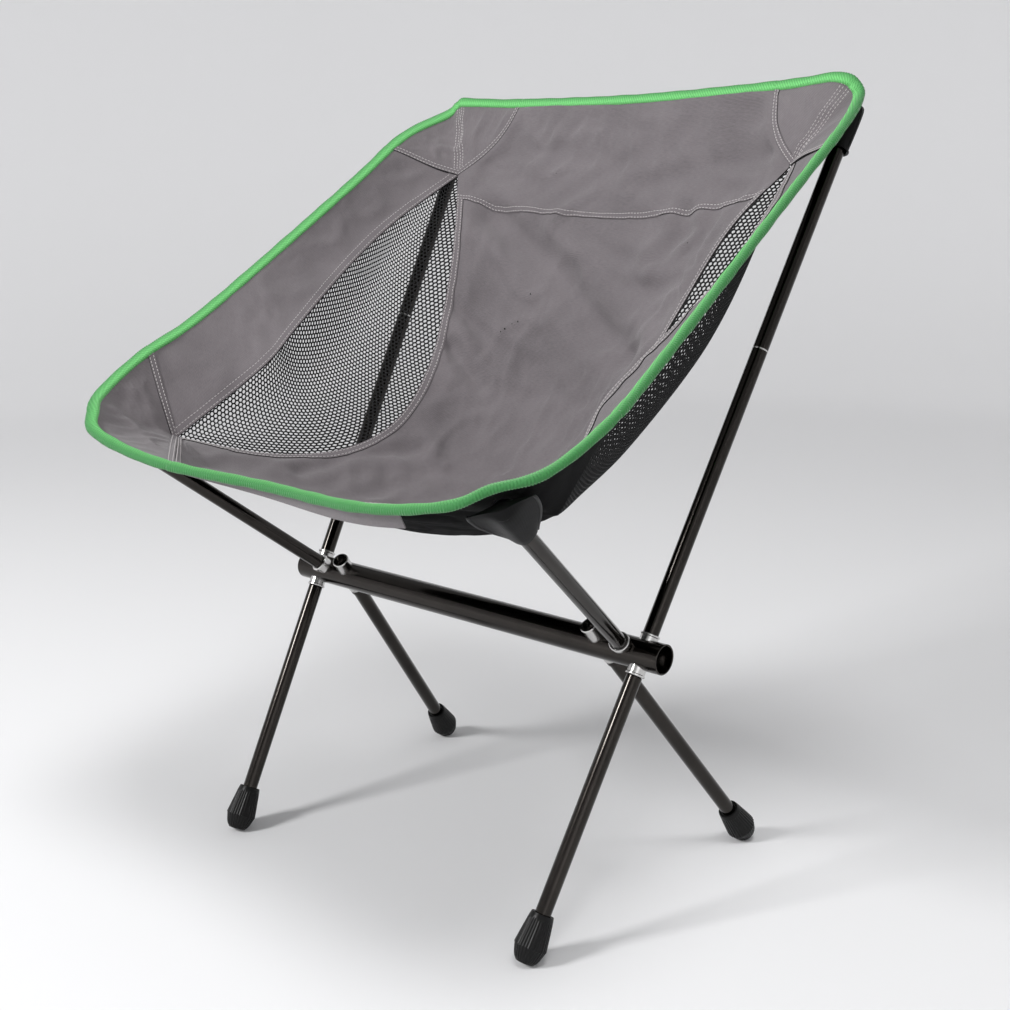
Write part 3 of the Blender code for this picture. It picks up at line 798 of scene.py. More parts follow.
def make_poles(side, sign):
    back = Line(FRONT_SLEEVE_X, BACK_DIRECTION, sign)
    lower = (BACK_POLE_START, BACK_POLE_JOINT)
    make_pole(f"visual_back_pole_lower_{side}", back, lower, f"back_pole_lower_{side}")
    upper = (BACK_POLE_JOINT + CLEAR, BACK_POLE_END)
    make_pole(f"visual_back_pole_upper_{side}", back, upper, f"back_pole_upper_{side}")
    ring = turned(
        f"visual_back_pole_ferrule_{side}",
        back,
        (
            (BACK_POLE_JOINT - 0.035, SPIGOT_OUTER),
            (BACK_POLE_JOINT - 0.0006, SPIGOT_OUTER),
            (BACK_POLE_JOINT - 0.0005, POLE_OUTER + 0.0001),
            (BACK_POLE_JOINT + 0.0007, POLE_OUTER + 0.0001),
            (BACK_POLE_JOINT + 0.0008, SPIGOT_OUTER),
            (BACK_POLE_JOINT + 0.035, SPIGOT_OUTER),
            (BACK_POLE_JOINT + 0.035, SPIGOT_INNER),
            (BACK_POLE_JOINT - 0.035, SPIGOT_INNER),
        ),
        BARE_METAL,
    )
    place(ring, ROOT, (f"back_pole_ferrule_{side}",))
    make_tip(f"visual_back_pole_tip_{side}", back, BACK_POLE_END, f"back_pole_tip_{side}")
    seat = Line(SEAT_SOCKET_X, SEAT_DIRECTION, sign)
    make_pole(f"visual_seat_pole_{side}", seat, (SEAT_POLE_START, SEAT_POLE_END), f"seat_pole_{side}")
    make_tip(f"visual_seat_pole_tip_{side}", seat, SEAT_POLE_END, f"seat_pole_tip_{side}")


def foot_top(line):
    """How far down a leg its foot starts, so that its round bottom sinks FOOT_SINK below the floor."""
    slope = math.sqrt(1 - line.direction.z**2)
    reach = max(-line.direction.z * distance + slope * radius for distance, radius in FOOT_PROFILE)
    return (line.origin.z + FOOT_SINK - reach) / -line.direction.z


def make_foot(name, line, top, body, node):
    """A fluted rubber foot. Its bottom is pressed flat where it meets the floor."""
    distances = np.array([p[0] for p in FOOT_PROFILE])
    radii = np.array([p[1] for p in FOOT_PROFILE])
    fine = np.linspace(0, distances[-1], 46)
    stations = np.interp(fine, distances, np.arange(len(distances)))
    smooth = spline(np.stack([distances, radii, radii * 0], axis=1), stations)
    outside = [(top + distance, radius) for distance, radius, _ in smooth[::-1]]
    bottom = [(top + distances[-1] + 0.0006, radii[-1] * 0.55), (top + distances[-1] + 0.0002, radii[-1] * 0.9)]
    bore = [(top, POLE_OUTER + 0.0003), (top + FOOT_BORE_DEPTH, POLE_OUTER + 0.0003)]
    profile = bottom + outside + bore
    foot = turned(name, line, profile, RUBBER, closed=False, flute=(top + 0.004, top + distances[-1] - 0.002))
    for vertex in foot.data.vertices:
        vertex.co.z = max(vertex.co.z, 0.0)
    place(foot, body, (node,))


def make_front_leg(side, sign):
    line = Line(FRONT_SLEEVE_X, tuple(-value for value in BACK_DIRECTION), sign)
    body = f"front_leg_{side}_slider"
    top = foot_top(line)
    end = top + FOOT_BORE_DEPTH - CLEAR
    spigot_end = FRONT_LEG_START - FRONT_SPIGOT_LENGTH
    profile = rounded_profile((
        (end, POLE_OUTER),
        (FRONT_LEG_START, POLE_OUTER),
        (FRONT_LEG_START, SPIGOT_OUTER),
        (spigot_end, SPIGOT_OUTER),
        (spigot_end, SPIGOT_INNER),
        (end, SPIGOT_INNER),
    ))
    leg = turned(f"visual_front_leg_{side}", line, profile, GUNMETAL)
    place(leg, body, (f"front_leg_{side}",))
    make_foot(f"visual_front_foot_{side}", line, top, body, f"front_foot_{side}")


def make_rear_leg(side, sign):
    line = Line(REAR_SLEEVE_X, REAR_LEG_DIRECTION, sign)
    body = f"rear_leg_{side}_slider"
    top = foot_top(line)
    end = top + FOOT_BORE_DEPTH - CLEAR
    collar = REAR_SLEEVE_SPAN[1] + CLEAR
    start = collar - REAR_LEG_INSERT
    profile = rounded_profile((
        (end, POLE_OUTER),
        (collar + LEG_COLLAR_LENGTH, POLE_OUTER),
        (collar + LEG_COLLAR_LENGTH, LEG_COLLAR_RADIUS),
        (collar, LEG_COLLAR_RADIUS),
        (collar, POLE_OUTER),
        (start, POLE_OUTER),
        (start, POLE_INNER),
        (end, POLE_INNER),
    ))
    leg = turned(f"visual_rear_leg_{side}", line, profile, GUNMETAL)
    place(leg, body, (f"rear_leg_{side}",))
    make_foot(f"visual_rear_foot_{side}", line, top, body, f"rear_foot_{side}")


def dress_cords():
    """The elastic cords keep their CAD shape, which hardly shows."""
    for name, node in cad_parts.items():
        if "_cord_" in name:
            node.data.materials.clear()
            node.data.materials.append(ELASTIC)


# ---------------------------------------------------------------- sling


class Corner:
    """One corner of the sling: where it is sewn on, its tip, and a line from its sewn side out towards the tip."""

    def __init__(self, name, sign, stations, tip, sewn_point):
        self.name, self.sign, self.stations, self.tip = name, sign, stations, tip
        self.mirror = np.array((sign, 1.0, 1.0))
        self.sewn_point = np.array(sewn_point)
        first, last = cloth_edge(stations[0])[0], cloth_edge(stations[1])[0]
        tip_point = edge(tip)[0]
        along = unit(last - first)
        self.along = along * self.mirror
        outwards = (tip_point - first) - ((tip_point - first) @ along) * along
        self.start = (first + ((tip_point - first) @ along) * along) * self.mirror
        self.end = self.start + outwards * self.mirror * 0.7

    def stretch(self, obj):
        tuple(self.start)
        tuple(self.end)
        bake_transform(obj)

    def seams(self):
        first, last = (cloth_edge(station)[0] for station in self.stations)
        return first, self.sewn_point, last


def binding_piece(name, first, last):
    """Ribbed tape folded over the sling's edge."""
    coarse = edge(np.linspace(first, last, 200))
    steps = steps_for(coarse, RIB_PITCH / 4)
    stations = np.interp(
        np.linspace(0, lengths_along(coarse)[-1], steps), lengths_along(coarse), np.linspace(first, last, 200)
    )
    centre, inward = settled(edge(stations)), inwards(stations)
    along = unit(np.gradient(centre, axis=0))
    upward = np.cross(along, inward)
    lengths = lengths_along(centre)
    sides = 16
    angles = np.linspace(0, 2 * math.pi, sides, endpoint=False)
    shape_w = np.sign(np.cos(angles)) * np.abs(np.cos(angles)) ** 0.75 * BINDING_HALF_WIDTH
    shape_h = np.sign(np.sin(angles)) * np.abs(np.sin(angles)) ** 0.75 * TAPE_HALF_THICKNESS
    ribs = np.sin(2 * math.pi * lengths[:, None] / RIB_PITCH + 2 * angles[None, :])
    slow = 0.05 * np.sin(lengths * 2 * math.pi / 0.031) + 0.04 * np.sin(lengths * 2 * math.pi / 0.053 + 1)
    swell = (1 + RIB_DEPTH * ribs + slow[:, None])[:, :, None]
    points = (
        centre[:, None, :]
        + inward[:, None, :] * (shape_w[None, :, None] * (1 + (swell - 1) * 0.4))
        + upward[:, None, :] * (shape_h[None, :, None] * swell)
    )
    faces = []
    for ring in range(steps - 1):
        a, b = ring * sides, (ring + 1) * sides
        faces += [(a + i, a + (i + 1) % sides, b + (i + 1) % sides, b + i) for i in range(sides)]
    faces.append(tuple(range(sides))[::-1])
    faces.append(tuple((steps - 1) * sides + i for i in range(sides)))
    uvs = np.stack([np.repeat(lengths, sides), np.tile(shape_w, steps)], axis=1)
    obj = new_object(name, points.reshape(-1, 3), faces, (GREEN_TAPE,), uvs=uvs)
    stitch_line = centre + inward * BINDING_HALF_WIDTH * 0.72
    lines = [
        (stitch_line + upward * TAPE_HALF_THICKNESS * 0.62, upward),
        (stitch_line - upward * TAPE_HALF_THICKNESS * 0.62, -upward),
    ]
    thread = stitching(f"{name}_stitches", lines, DARK_THREAD)
    return obj, thread


def ride_all(objects, body=ROOT):
    for obj in objects:
        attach(obj, body)


def hem_band(name, grid, side, material, width=HEM_WIDTH):
    """A folded hem along one border of a sheet, with two rows of stitches."""
    strip, _ = lines_from_edge(grid, side, np.array((0.0002, width / 2, width)))
    if side in ("right", "start"):
        strip = strip[:, ::-1]
    band = cloth_piece(name, strip, material, BLACK_CLOTH, CLOTH, HEM_LIFT)
    distances = np.array((width * 0.22, width * 0.78))
    lines, normals = lines_from_edge(grid, side, distances)
    rows = [(lines[:, k] + normals[:, k] * (HEM_LIFT + CLOTH / 2), normals[:, k]) for k in range(2)]
    thread = stitching(f"{name}_stitches", rows, THREAD)
    return band, thread


def panel_grids():
    """The seat and back as one grid, from the top edge to the front edge, and the row of its cross seam."""
    mesh_end = len(PANEL_EDGE) - 1
    down = np.linspace(SEAM_STATION, mesh_end, 200)
    side_low = np.vstack([spline(PANEL_EDGE, down), resampled(np.array([PANEL_EDGE[-1], cloth_edge(FRONT_PATCH[0])[0]]), 40)[1:]])
    whole_middle = np.vstack([MIDDLE, cloth_edge(0)])
    front_run = np.linspace(mesh_end, mesh_end + 1, 40)[1:]
    middle_low = np.vstack([spline(whole_middle, down), spline(whole_middle, front_run)])
    up = np.linspace(SEAM_STATION, 0, 20)
    top_side, top_middle = cloth_edge(TOP_PATCH[1])[0], cloth_edge(TOP_MIDDLE)[0]
    side_high = np.vstack([spline(PANEL_EDGE, up), bowed(PANEL_EDGE[0], top_side, 40, BAND_BOW)[1:]])
    middle_high = np.vstack([spline(MIDDLE, up), resampled(np.array([MIDDLE[0], top_middle]), 40)[1:]])
    high_rows, low_rows = steps_for(side_high), steps_for(middle_low)
    sides = np.vstack([pick(side_high, high_rows)[::-1], pick(side_low, low_rows)[1:]])
    middles = np.vstack([pick(middle_high, high_rows)[::-1], pick(middle_low, low_rows)[1:]])
    return across_rows(sides, middles, 97), high_rows - 1


def bowed(start, end, count, bow=(0, 0, 0)):
    """Points on an arc from start to end that is pushed out by bow in its middle."""
    t = np.linspace(0, 1, count)[:, None]
    return np.array(start) * (1 - t) + np.array(end) * t + np.array(bow) * np.sin(math.pi * t)


def pick(points, count):
    """Evenly numbered points, which keeps two matched lines matched."""
    at = np.linspace(0, len(points) - 1, count)
    return np.stack([np.interp(at, np.arange(len(points)), points[:, k]) for k in range(3)], axis=1)


def make_panels():
    grid, seam = panel_grids()
    grid = creased(wrinkled("back", settled(grid), SLACK["back"]), BACK_CREASES)
    band, seat = facing_sitter(grid[: seam + 1]), facing_sitter(grid[seam:])
    seat_piece = cloth_piece("visual_seat_and_back", seat, GREY_CLOTH, BLACK_CLOTH)
    place(seat_piece, ROOT, ("seat_back_panel",))
    band_piece = cloth_piece("visual_upper_back", band, GREY_CLOTH, BLACK_CLOTH, lift=0.0004)
    place(band_piece, ROOT, ("upper_back_band",))
    left_hem = hem_band("seat_hem_left", seat, "left", GREY_CLOTH)
    right_hem = hem_band("seat_hem_right", seat, "right", GREY_CLOTH)
    seam_hem = hem_band("back_seam_band", band, "end", GREY_CLOTH, 0.007)
    ride_all((*left_hem, *right_hem, *seam_hem))


# Folds of the back and seat: the points they run through, their depth and half width
BACK_CREASES = (
    (((-0.128, 0.172, 0.552), (-0.081, 0.164, 0.529), (-0.028, 0.153, 0.499), (0.023, 0.136, 0.462), (0.074, 0.115, 0.441)),
     0.0085, 0.015),
    (((-0.046, 0.176, 0.545), (0.023, 0.164, 0.522), (0.060, 0.158, 0.515)), 0.0050, 0.008),
    (((0.075, 0.160, 0.522), (0.095, 0.170, 0.545), (0.088, 0.180, 0.560)), 0.0060, 0.009),
    (((0.061, 0.150, 0.500), (0.089, 0.140, 0.495), (0.110, 0.135, 0.505)), 0.0030, 0.009),
    (((0.091, 0.181, 0.563), (0.110, 0.152, 0.527), (0.132, 0.121, 0.487)), -0.0012, 0.004),
    (((-0.127, 0.112, 0.471), (-0.091, 0.113, 0.448), (-0.060, 0.100, 0.420)), 0.0040, 0.007),
    (((-0.110, 0.092, 0.433), (-0.090, 0.090, 0.415), (-0.069, 0.089, 0.401)), 0.0045, 0.007),
    (((-0.130, 0.150, 0.520), (-0.085, 0.140, 0.495), (-0.055, 0.125, 0.465)), 0.0020, 0.008),
    (((-0.075, 0.061, 0.370), (-0.031, 0.073, 0.364), (0.031, 0.082, 0.374)), 0.0015, 0.012),
    (((-0.175, 0.200, 0.599), (-0.099, 0.210, 0.612), (0.000, 0.206, 0.602)), 0.0020, 0.009),
    (((0.031, 0.195, 0.581), (0.091, 0.201, 0.599), (0.161, 0.203, 0.610)), 0.0030, 0.009),
    (((-0.057, 0.189, 0.570), (-0.019, 0.202, 0.592), (0.021, 0.210, 0.612)), 0.0020, 0.007),
    (((-0.134, -0.077, 0.338), (-0.125, -0.028, 0.344), (-0.087, 0.024, 0.347)), 0.0025, 0.007),
    (((-0.083, -0.054, 0.323), (-0.066, 0.015, 0.332), (-0.012, 0.050, 0.338)), 0.0020, 0.009),
    (((0.038, 0.072, 0.365), (0.078, 0.079, 0.393), (0.112, 0.089, 0.430)), 0.0020, 0.010),
)


def make_wing(side, sign):
    mirror = np.array((sign, 1, 1))
    first, last = FRONT_PATCH[1], TOP_PATCH[0]
    outer = resampled(cloth_edge(np.linspace(first, last, 200)), 100)
    inner = resampled(spline(WING_EDGE, np.linspace(0, len(WING_EDGE) - 1, 200))[::-1], 100)
    grid = settled(facing_sitter(between(outer, inner, 16) * mirror))
    grid = wrinkled(f"wing_{side}", grid, SLACK["wing"])
    piece = cloth_piece(f"visual_wing_{side}", grid, GREY_CLOTH, BLACK_CLOTH)
    place(piece, ROOT, (f"wing_{side}",))
    inner_side = "left" if abs(grid[50, 0, 0]) < abs(grid[50, -1, 0]) else "right"
    hem = hem_band(f"wing_hem_{side}", grid, inner_side, GREY_CLOTH, 0.010)
    ride_all(hem)


def net_cells(half_width_at, length):
    """Centres of a honeycomb of cells inside a strip that is half_width_at(x) wide at x along it."""
    step_x, step_y = NET_PITCH * math.sqrt(3) / 2, NET_PITCH
    for column in range(int(length / step_x) + 2):
        x = column * step_x
        most = half_width_at(min(x, length))
        shift = step_y / 2 if column % 2 else 0.0
        for row in range(-int(most / step_y) - 1, int(most / step_y) + 2):
            y = row * step_y + shift
            if abs(y) < most + step_y * 0.35:
                yield x, y


def make_net(side, sign):
    """A net of six-sided holes on the bulging surface between the wing and the seat."""
    mirror = np.array((sign, 1, 1))
    stations = np.linspace(0.0, 1.0, 120)
    wing_edge = spline(WING_EDGE, stations * (len(WING_EDGE) - 1))
    panel_edge = spline(PANEL_EDGE, stations * (len(PANEL_EDGE) - 1))
    grid = settled(facing_sitter(between(wing_edge, panel_edge, 31, MESH_BULGE) * mirror))
    along = lengths_along(grid[:, 15])
    widths = np.array([lengths_along(row)[-1] for row in grid])
    normals = grid_normals(grid)

    def half_width_at(x):
        return float(np.interp(x, along, widths)) / 2

    radius = NET_PITCH / math.sqrt(3)
    hole = radius - NET_STRAND / math.sqrt(3)
    angles = np.arange(6) * math.pi / 3
    corners, index, faces = [], {}, []

    def corner(x, y):
        key = (round(x / NET_PITCH * 50), round(y / NET_PITCH * 50))
        if key not in index:
            index[key] = len(corners)
            corners.append((x, y))
        return index[key]

    for x, y in net_cells(half_width_at, along[-1]):
        outer = [corner(x + radius * math.cos(a), y + radius * math.sin(a)) for a in angles]
        inner = []
        for a in angles:
            inner.append(len(corners))
            corners.append((x + hole * math.cos(a), y + hole * math.sin(a)))
        faces += [(outer[i], outer[(i + 1) % 6], inner[(i + 1) % 6], inner[i]) for i in range(6)]
    flat = np.array(corners)
    rows = np.interp(np.clip(flat[:, 0], 0, along[-1]), along, np.arange(len(along)))
    half = np.maximum(np.interp(rows, np.arange(len(along)), widths) / 2, 1e-6)
    columns = (np.clip(flat[:, 1] / half, -1, 1) + 1) / 2 * (grid.shape[1] - 1)
    points, out = sampled(grid, rows, columns), unit(sampled(normals, rows, columns))
    both = np.concatenate([points + out * NET_THICKNESS / 2, points - out * NET_THICKNESS / 2])
    count = len(points)
    faces = np.array(faces)
    spread = np.linalg.norm(np.cross(points[faces[:, 1]] - points[faces[:, 0]], points[faces[:, 2]] - points[faces[:, 0]]), axis=1)
    faces = faces[spread > 1e-9]
    top = faces[:, ::-1] if np.median(turning(points, faces, out)) < 0 else faces
    edges = np.concatenate([np.stack([top[:, k], top[:, (k + 1) % 4]], axis=1) for k in range(4)])
    forward = {tuple(pair) for pair in edges.tolist()}
    open_edges = np.array([pair for pair in edges.tolist() if (pair[1], pair[0]) not in forward])
    walls = np.stack([open_edges[:, 1], open_edges[:, 0], open_edges[:, 0] + count, open_edges[:, 1] + count], axis=1)
    everything = np.concatenate([top, top[:, ::-1] + count, walls])
    uvs = np.tile(flat, (2, 1))
    net = new_object(f"visual_net_{side}", both, everything, (NET,), uvs=uvs)
    place(net, ROOT, (f"mesh_{side}",))


def turning(points, faces, normals):
    across = np.cross(points[faces[:, 1]] - points[faces[:, 0]], points[faces[:, 2]] - points[faces[:, 1]])
    return (across * normals[faces[:, 0]]).sum(1)


def sampled(grid, rows, columns):
    """Points of the grid at fractional rows and columns."""
    r = np.clip(np.floor(rows).astype(int), 0, grid.shape[0] - 2)
    c = np.clip(np.floor(columns).astype(int), 0, grid.shape[1] - 2)
    u, v = (rows - r)[:, None], (columns - c)[:, None]
    near = grid[r, c] * (1 - v) + grid[r, c + 1] * v
    far = grid[r + 1, c] * (1 - v) + grid[r + 1, c + 1] * v
    return near * (1 - u) + far * u


def make_patch(corner):
    """The cloth of a corner, between the binding and the two seams that meet at the end of the net."""
    first, last = corner.stations
    start, sewn, end = corner.seams()
    legs = (np.linalg.norm(sewn - start), np.linalg.norm(end - sewn))
    rows = 92
    turn = int(round((rows - 1) * legs[0] / sum(legs)))
    bow = BAND_BOW if "top" in corner.name else (0, 0, 0)
    seam = np.vstack([bowed(start, sewn, turn + 1), bowed(sewn, end, rows - turn, bow)[1:]])
    to_tip = resampled(cloth_edge(np.linspace(first, corner.tip, 200)), turn + 1)
    from_tip = resampled(cloth_edge(np.linspace(corner.tip, last, 200)), rows - turn)
    outer = np.vstack([to_tip, from_tip[1:]])
    plain_grid = settled(between(outer, seam, 26) * corner.mirror)
    grid = facing_sitter(plain_grid)
    seam_side = "right" if np.allclose(grid[turn], plain_grid[turn]) else "left"
    grid = wrinkled(corner.name, grid, SLACK["patch"])
    piece = cloth_piece(f"visual_{corner.name}_patch", grid, GREY_CLOTH, BLACK_CLOTH)
    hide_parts(f"{corner.name}_patch")
    trim = list(hem_band(f"{corner.name}_seam", grid, seam_side, GREY_CLOTH, 0.007))
    if "top" in corner.name:
        trim.append(middle_seam(f"{corner.name}_middle_seam", grid, turn))
    for obj in (piece, *trim):
        corner.stretch(obj)
    size = (0.14, 0.20) if "front" in corner.name else (0.11, 0.19)
    area_of(grid)


def middle_seam(name, grid, row):
    """Two double rows of stitches on either side of the seam that runs from the net to the corner."""
    rows = []
    for part, side in ((grid[: row + 1], "end"), (grid[row:], "start")):
        lines, normals = lines_from_edge(part, side, np.array((0.0018, 0.0048)))
        rows += [(lines[:, k] + normals[:, k] * CLOTH / 2, normals[:, k]) for k in range(2)]
    return stitching(name, rows, THREAD)


def settled(points):
    """The upper sling with its slight tilt. Its side edges and the seat stay where they are."""
    points = np.array(points, float)
    x, z = points[..., 0], points[..., 2]
    upper = smooth_step((z - 0.45) / 0.12)
    inner = 1 - smooth_step((np.abs(x) - 0.20) / 0.045)
    points[..., 2] += SETTLING * x / 0.21 * upper * inner
    return points


def smooth_step(t):
    t = np.clip(t, 0, 1)
    return t * t * (3 - 2 * t)


def area_of(grid):
    a, b = np.diff(grid, axis=0)[:, :-1], np.diff(grid, axis=1)[:-1]
    return float(np.linalg.norm(np.cross(a, b), axis=-1).sum())


def lofted(name, line, pole_end, shapes, width_axis, material):
    """A closed shell about a pole's end. shapes lists (distance, half width, half height, edge half height)."""
    forwards = np.array(line.direction)
    wide = unit(width_axis - (width_axis @ forwards) * forwards)
    high = np.cross(forwards, wide)
    sides = 48
    angles = np.linspace(0, 2 * math.pi, sides, endpoint=False)
    rings = []
    for distance, half_width, half_height, thin in shapes:
        across = np.cos(angles) * half_width
        raised = thin + (half_height - thin) * np.exp(-((across / POCKET_SPREAD) ** 2))
        centre = np.array(line.at(pole_end + distance))
        rings.append(centre + across[:, None] * wide + (np.sin(angles) * raised)[:, None] * high)
    faces = []
    for ring in range(len(rings) - 1):
        a, b = ring * sides, (ring + 1) * sides
        faces += [(a + i, a + (i + 1) % sides, b + (i + 1) % sides, b + i) for i in range(sides)]
    faces.append(tuple(range(sides))[::-1])
    faces.append(tuple((len(rings) - 1) * sides + i for i in range(sides)))
    distances = np.repeat([shape[0] for shape in shapes], sides)
    uvs = np.stack([np.tile(angles, len(rings)) * 0.012, distances], axis=1)
    obj = new_object(name, np.concatenate(rings), faces, (material,), uvs=uvs)
    obj.data.set_sharp_from_angle(angle=math.radians(50))
    return obj, [np.array(ring) for ring in rings]


def piping(name, points, material, radius=PIPING_RADIUS, sides=10):
    """A thin round cord sewn along a line of points."""
    points = resampled(np.asarray(points), steps_for(np.asarray(points), 0.0015))
    along = unit(np.gradient(points, axis=0))
    level = unit(np.cross(along, np.array((0.31, 0.17, 0.93))))
    square = np.cross(along, level)
    angles = np.linspace(0, 2 * math.pi, sides, endpoint=False)
    rings = (
        points[:, None, :]
        + level[:, None, :] * (np.cos(angles) * radius)[None, :, None]
        + square[:, None, :] * (np.sin(angles) * radius)[None, :, None]
    )
    faces = []
    for ring in range(len(points) - 1):
        a, b = ring * sides, (ring + 1) * sides
        faces += [(a + i, a + (i + 1) % sides, b + (i + 1) % sides, b + i) for i in range(sides)]
    faces.append(tuple(range(sides))[::-1])
    faces.append(tuple((len(points) - 1) * sides + i for i in range(sides)))
    return new_object(name, rings.reshape(-1, 3), faces, (material,))


# Outlines of the pockets: (distance beyond the pole's end, half width, half height, half height at the rim)
FRONT_FLAP = (
    (-0.0240, 0.0100, 0.0086, 0.0040),
    (-0.0180, 0.0128, 0.0092, 0.0024),
    (-0.0080, 0.0180, 0.0094, 0.0014),
    (0.0040, 0.0225, 0.0094, 0.0012),
    (0.0140, 0.0240, 0.0080, 0.0012),
    (0.0190, 0.0235, 0.0030, 0.0010),
)
TOP_CUP = (
    (-0.0220, 0.0092, 0.0090, 0.0080),
    (-0.0100, 0.0100, 0.0093, 0.0070),
    (0.0080, 0.0104, 0.0093, 0.0060),
    (0.0160, 0.0096, 0.0080, 0.0040),
    (0.0190, 0.0060, 0.0040, 0.0020),
)
POCKET_SPREAD = 0.0105


def make_pocket(corner, line, pole_end, outline, width_axis):
    """The sewn pocket that holds the pole's tip: two layers that part round the pole, with a piped rim."""
    fine = smooth_rows(outline, 40)[::-1]
    mouth = fine[-1]
    shapes = [*fine, (mouth[0] + 0.0002, mouth[1] - 0.0008, mouth[2] - 0.0006, mouth[3])]
    shapes += [(mouth[0] + 0.004, POCKET_BORE, POCKET_BORE, POCKET_BORE)]
    shapes += [(0.0138, POCKET_BORE, POCKET_BORE, POCKET_BORE)]
    name = f"visual_{corner.name}_pocket"
    pocket, rings = lofted(name, line, pole_end, shapes, width_axis, POCKET_CLOTH)
    place(pocket, corner.name, (f"{corner.name}_pocket",))
    half = len(rings[0]) // 2
    outside = rings[: len(fine)]
    rim = [ring[0] for ring in outside] + list(outside[-1][: half + 1]) + [ring[half] for ring in outside[::-1]]
    cord = piping(f"{name}_rim", unique_points(rim), PIPING_CLOTH)
    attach(cord, corner.name)


def smooth_rows(rows, count):
    """Spline through rows of four numbers."""
    rows = np.array(rows)
    at = np.linspace(0, len(rows) - 1, count)
    first = spline(rows[:, :3], at)
    last = spline(rows[:, 1:], at)
    return np.column_stack([first, last[:, 2]])


def unique_points(points):
    points = np.array(points)
    keep = np.concatenate([[True], np.linalg.norm(np.diff(points, axis=0), axis=1) > 1e-5])
    return points[keep]


def make_corner_binding(corner):
    first, last = corner.stations
    ends = sorted((corner.sign * first, corner.sign * last))
    tape_piece, thread = binding_piece(f"visual_{corner.name}_binding", *ends)
    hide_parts(f"{corner.name}_binding")
    corner.stretch(tape_piece)
    corner.stretch(thread)


def make_bindings():
    runs = {
        "binding_front": (-FRONT_PATCH[0], FRONT_PATCH[0]),
        "binding_top": (TOP_PATCH[1], 2 * TOP_MIDDLE - TOP_PATCH[1]),
        "binding_side_left": (FRONT_PATCH[1], TOP_PATCH[0]),
        "binding_side_right": (-TOP_PATCH[0], -FRONT_PATCH[1]),
    }
    for node, (first, last) in runs.items():
        tape_piece, thread = binding_piece(f"visual_{node}", first, last)
        place(tape_piece, ROOT, (node,))
        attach(thread, ROOT)


def make_front_hem():
    left_end = np.interp(HEM_HALF_LENGTH, HALF_EDGE[:4, 0], np.arange(4))
    under_edge = edge(np.linspace(-left_end * 0.72, left_end, 81)) + np.array((0, 0.001, -0.0030))
    depth = smooth_step(np.linspace(0.1, 1.3, 81))[:, None]
    folded = under_edge + np.array((0, 0.006, -HEM_DEPTH)) * depth
    grid = between(under_edge, folded, 8)
    piece = cloth_piece("visual_front_hem", grid, GREY_CLOTH, GREY_CLOTH)
    place(piece, ROOT, ("front_hem",))
    area_of(grid)


def make_sling():
    make_panels()
    for side, sign in SIDES.items():
        make_wing(side, sign)
        make_net(side, sign)
        front = Corner(f"front_corner_{side}", sign, FRONT_PATCH, FRONT_TIP, PANEL_EDGE[-1])
        top = Corner(f"top_corner_{side}", sign, TOP_PATCH, TOP_TIP, PANEL_EDGE[0])
        for corner in (front, top):
            make_patch(corner)
            make_corner_binding(corner)
        seat_pole = Line(SEAT_SOCKET_X, SEAT_DIRECTION, sign)
        make_pocket(front, seat_pole, SEAT_POLE_END, FRONT_FLAP, front.along)
        back_pole = Line(FRONT_SLEEVE_X, BACK_DIRECTION, sign)
        make_pocket(top, back_pole, BACK_POLE_END, TOP_CUP, np.array((sign, 0.0, 0.0)))
    make_bindings()
    make_front_hem()


# ---------------------------------------------------------------- studio

CAMERA_POSITION = (0.8284, -0.8966, 0.6085)
CAMERA_DIRECTION = (-0.6424, 0.7292, -0.2357)
CAMERA_ROLL = math.radians(-0.28)
FIELD_OF_VIEW = math.radians(38.41)
LIGHTS = (
    # name, place, size, power
    ("key", (-1.0, -2.3, 1.9), 0.6, 54),
    ("fill", (1.9, -1.6, 0.9), 1.4, 4),
    ("top", (0.65, -0.45, 2.7), 0.9, 30),
)
WORLD_STRENGTH = 0.34
BACKDROP = ((0.0, 0.0), (1.9, 0.0), (2.5, 0.08), (2.9, 0.4), (3.1, 1.0), (3.2, 1.8))  # radius, height


def look_along(obj, direction, roll=0.0):
    turn = Vector(direction).to_track_quat("-Z", "Y").to_matrix().to_4x4()
    obj.matrix_world = Matrix.Translation(obj.location) @ turn @ Matrix.Rotation(roll, 4, "Z")


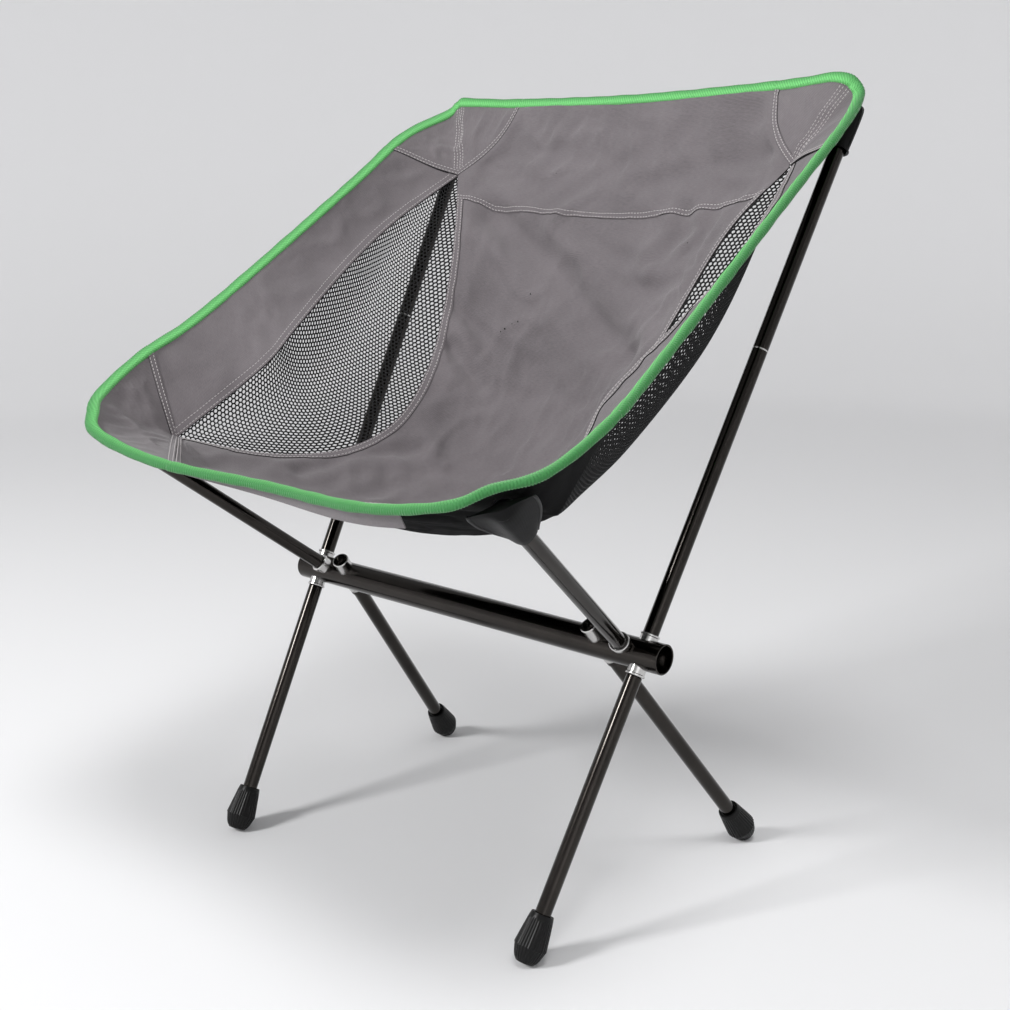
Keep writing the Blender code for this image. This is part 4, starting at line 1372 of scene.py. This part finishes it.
def make_camera():
    data = bpy.data.cameras.new("camera")
    data.sensor_width = 36
    data.lens = data.sensor_width / 2 / math.tan(FIELD_OF_VIEW / 2)
    camera = bpy.data.objects.new("camera", data)
    bpy.context.scene.collection.objects.link(camera)
    camera.location = CAMERA_POSITION
    look_along(camera, CAMERA_DIRECTION, CAMERA_ROLL)
    bpy.context.scene.camera = camera


def make_lights():
    for name, position, size, power in LIGHTS:
        data = bpy.data.lights.new(name, "AREA")
        data.size = size
        data.energy = power
        light = bpy.data.objects.new(name, data)
        bpy.context.scene.collection.objects.link(light)
        light.location = position
        look_along(light, Vector((0, 0, 0.35)) - Vector(position))
    world = bpy.data.worlds.new("studio")
    world.use_nodes = True
    background = world.node_tree.nodes["Background"]
    background.inputs["Color"].default_value = (1, 1, 1, 1)
    background.inputs["Strength"].default_value = WORLD_STRENGTH
    bpy.context.scene.world = world


def make_floor():
    """A round floor that curves up into a low wall, so that no horizon shows."""
    white = Surface("backdrop", (0.83, 0.83, 0.84), 0.95)
    white.set("Specular IOR Level", 0.0)
    sides = 96
    angles = np.linspace(0, 2 * math.pi, sides, endpoint=False)
    profile = smooth_profile(BACKDROP, 40)
    rings = [np.stack([np.cos(angles) * r, np.sin(angles) * r, angles * 0 + z], axis=1) for r, z in profile[1:]]
    points = np.concatenate([[[0, 0, 0]], *rings])
    faces = [(0, 1 + i, 1 + (i + 1) % sides) for i in range(sides)]
    for ring in range(len(rings) - 1):
        a, b = 1 + ring * sides, 1 + (ring + 1) * sides
        faces += [(a + i, b + i, b + (i + 1) % sides, a + (i + 1) % sides) for i in range(sides)]
    floor = new_object("floor", points, faces, (white.material,))


def smooth_profile(profile, count):
    rows = np.array([(r, z, 0.0) for r, z in profile])
    found = spline(rows, np.linspace(0, len(rows) - 1, count))[:, :2]
    found[:, 1] = np.maximum(found[:, 1], 0)
    return found


bpy.context.scene.view_settings.view_transform = "Standard"
make_crossbar()
for side_name, side_sign in SIDES.items():
    make_sleeves(side_name, side_sign)
    make_poles(side_name, side_sign)
    make_front_leg(side_name, side_sign)
    make_rear_leg(side_name, side_sign)
dress_cords()
make_sling()
make_camera()
make_lights()
make_floor()
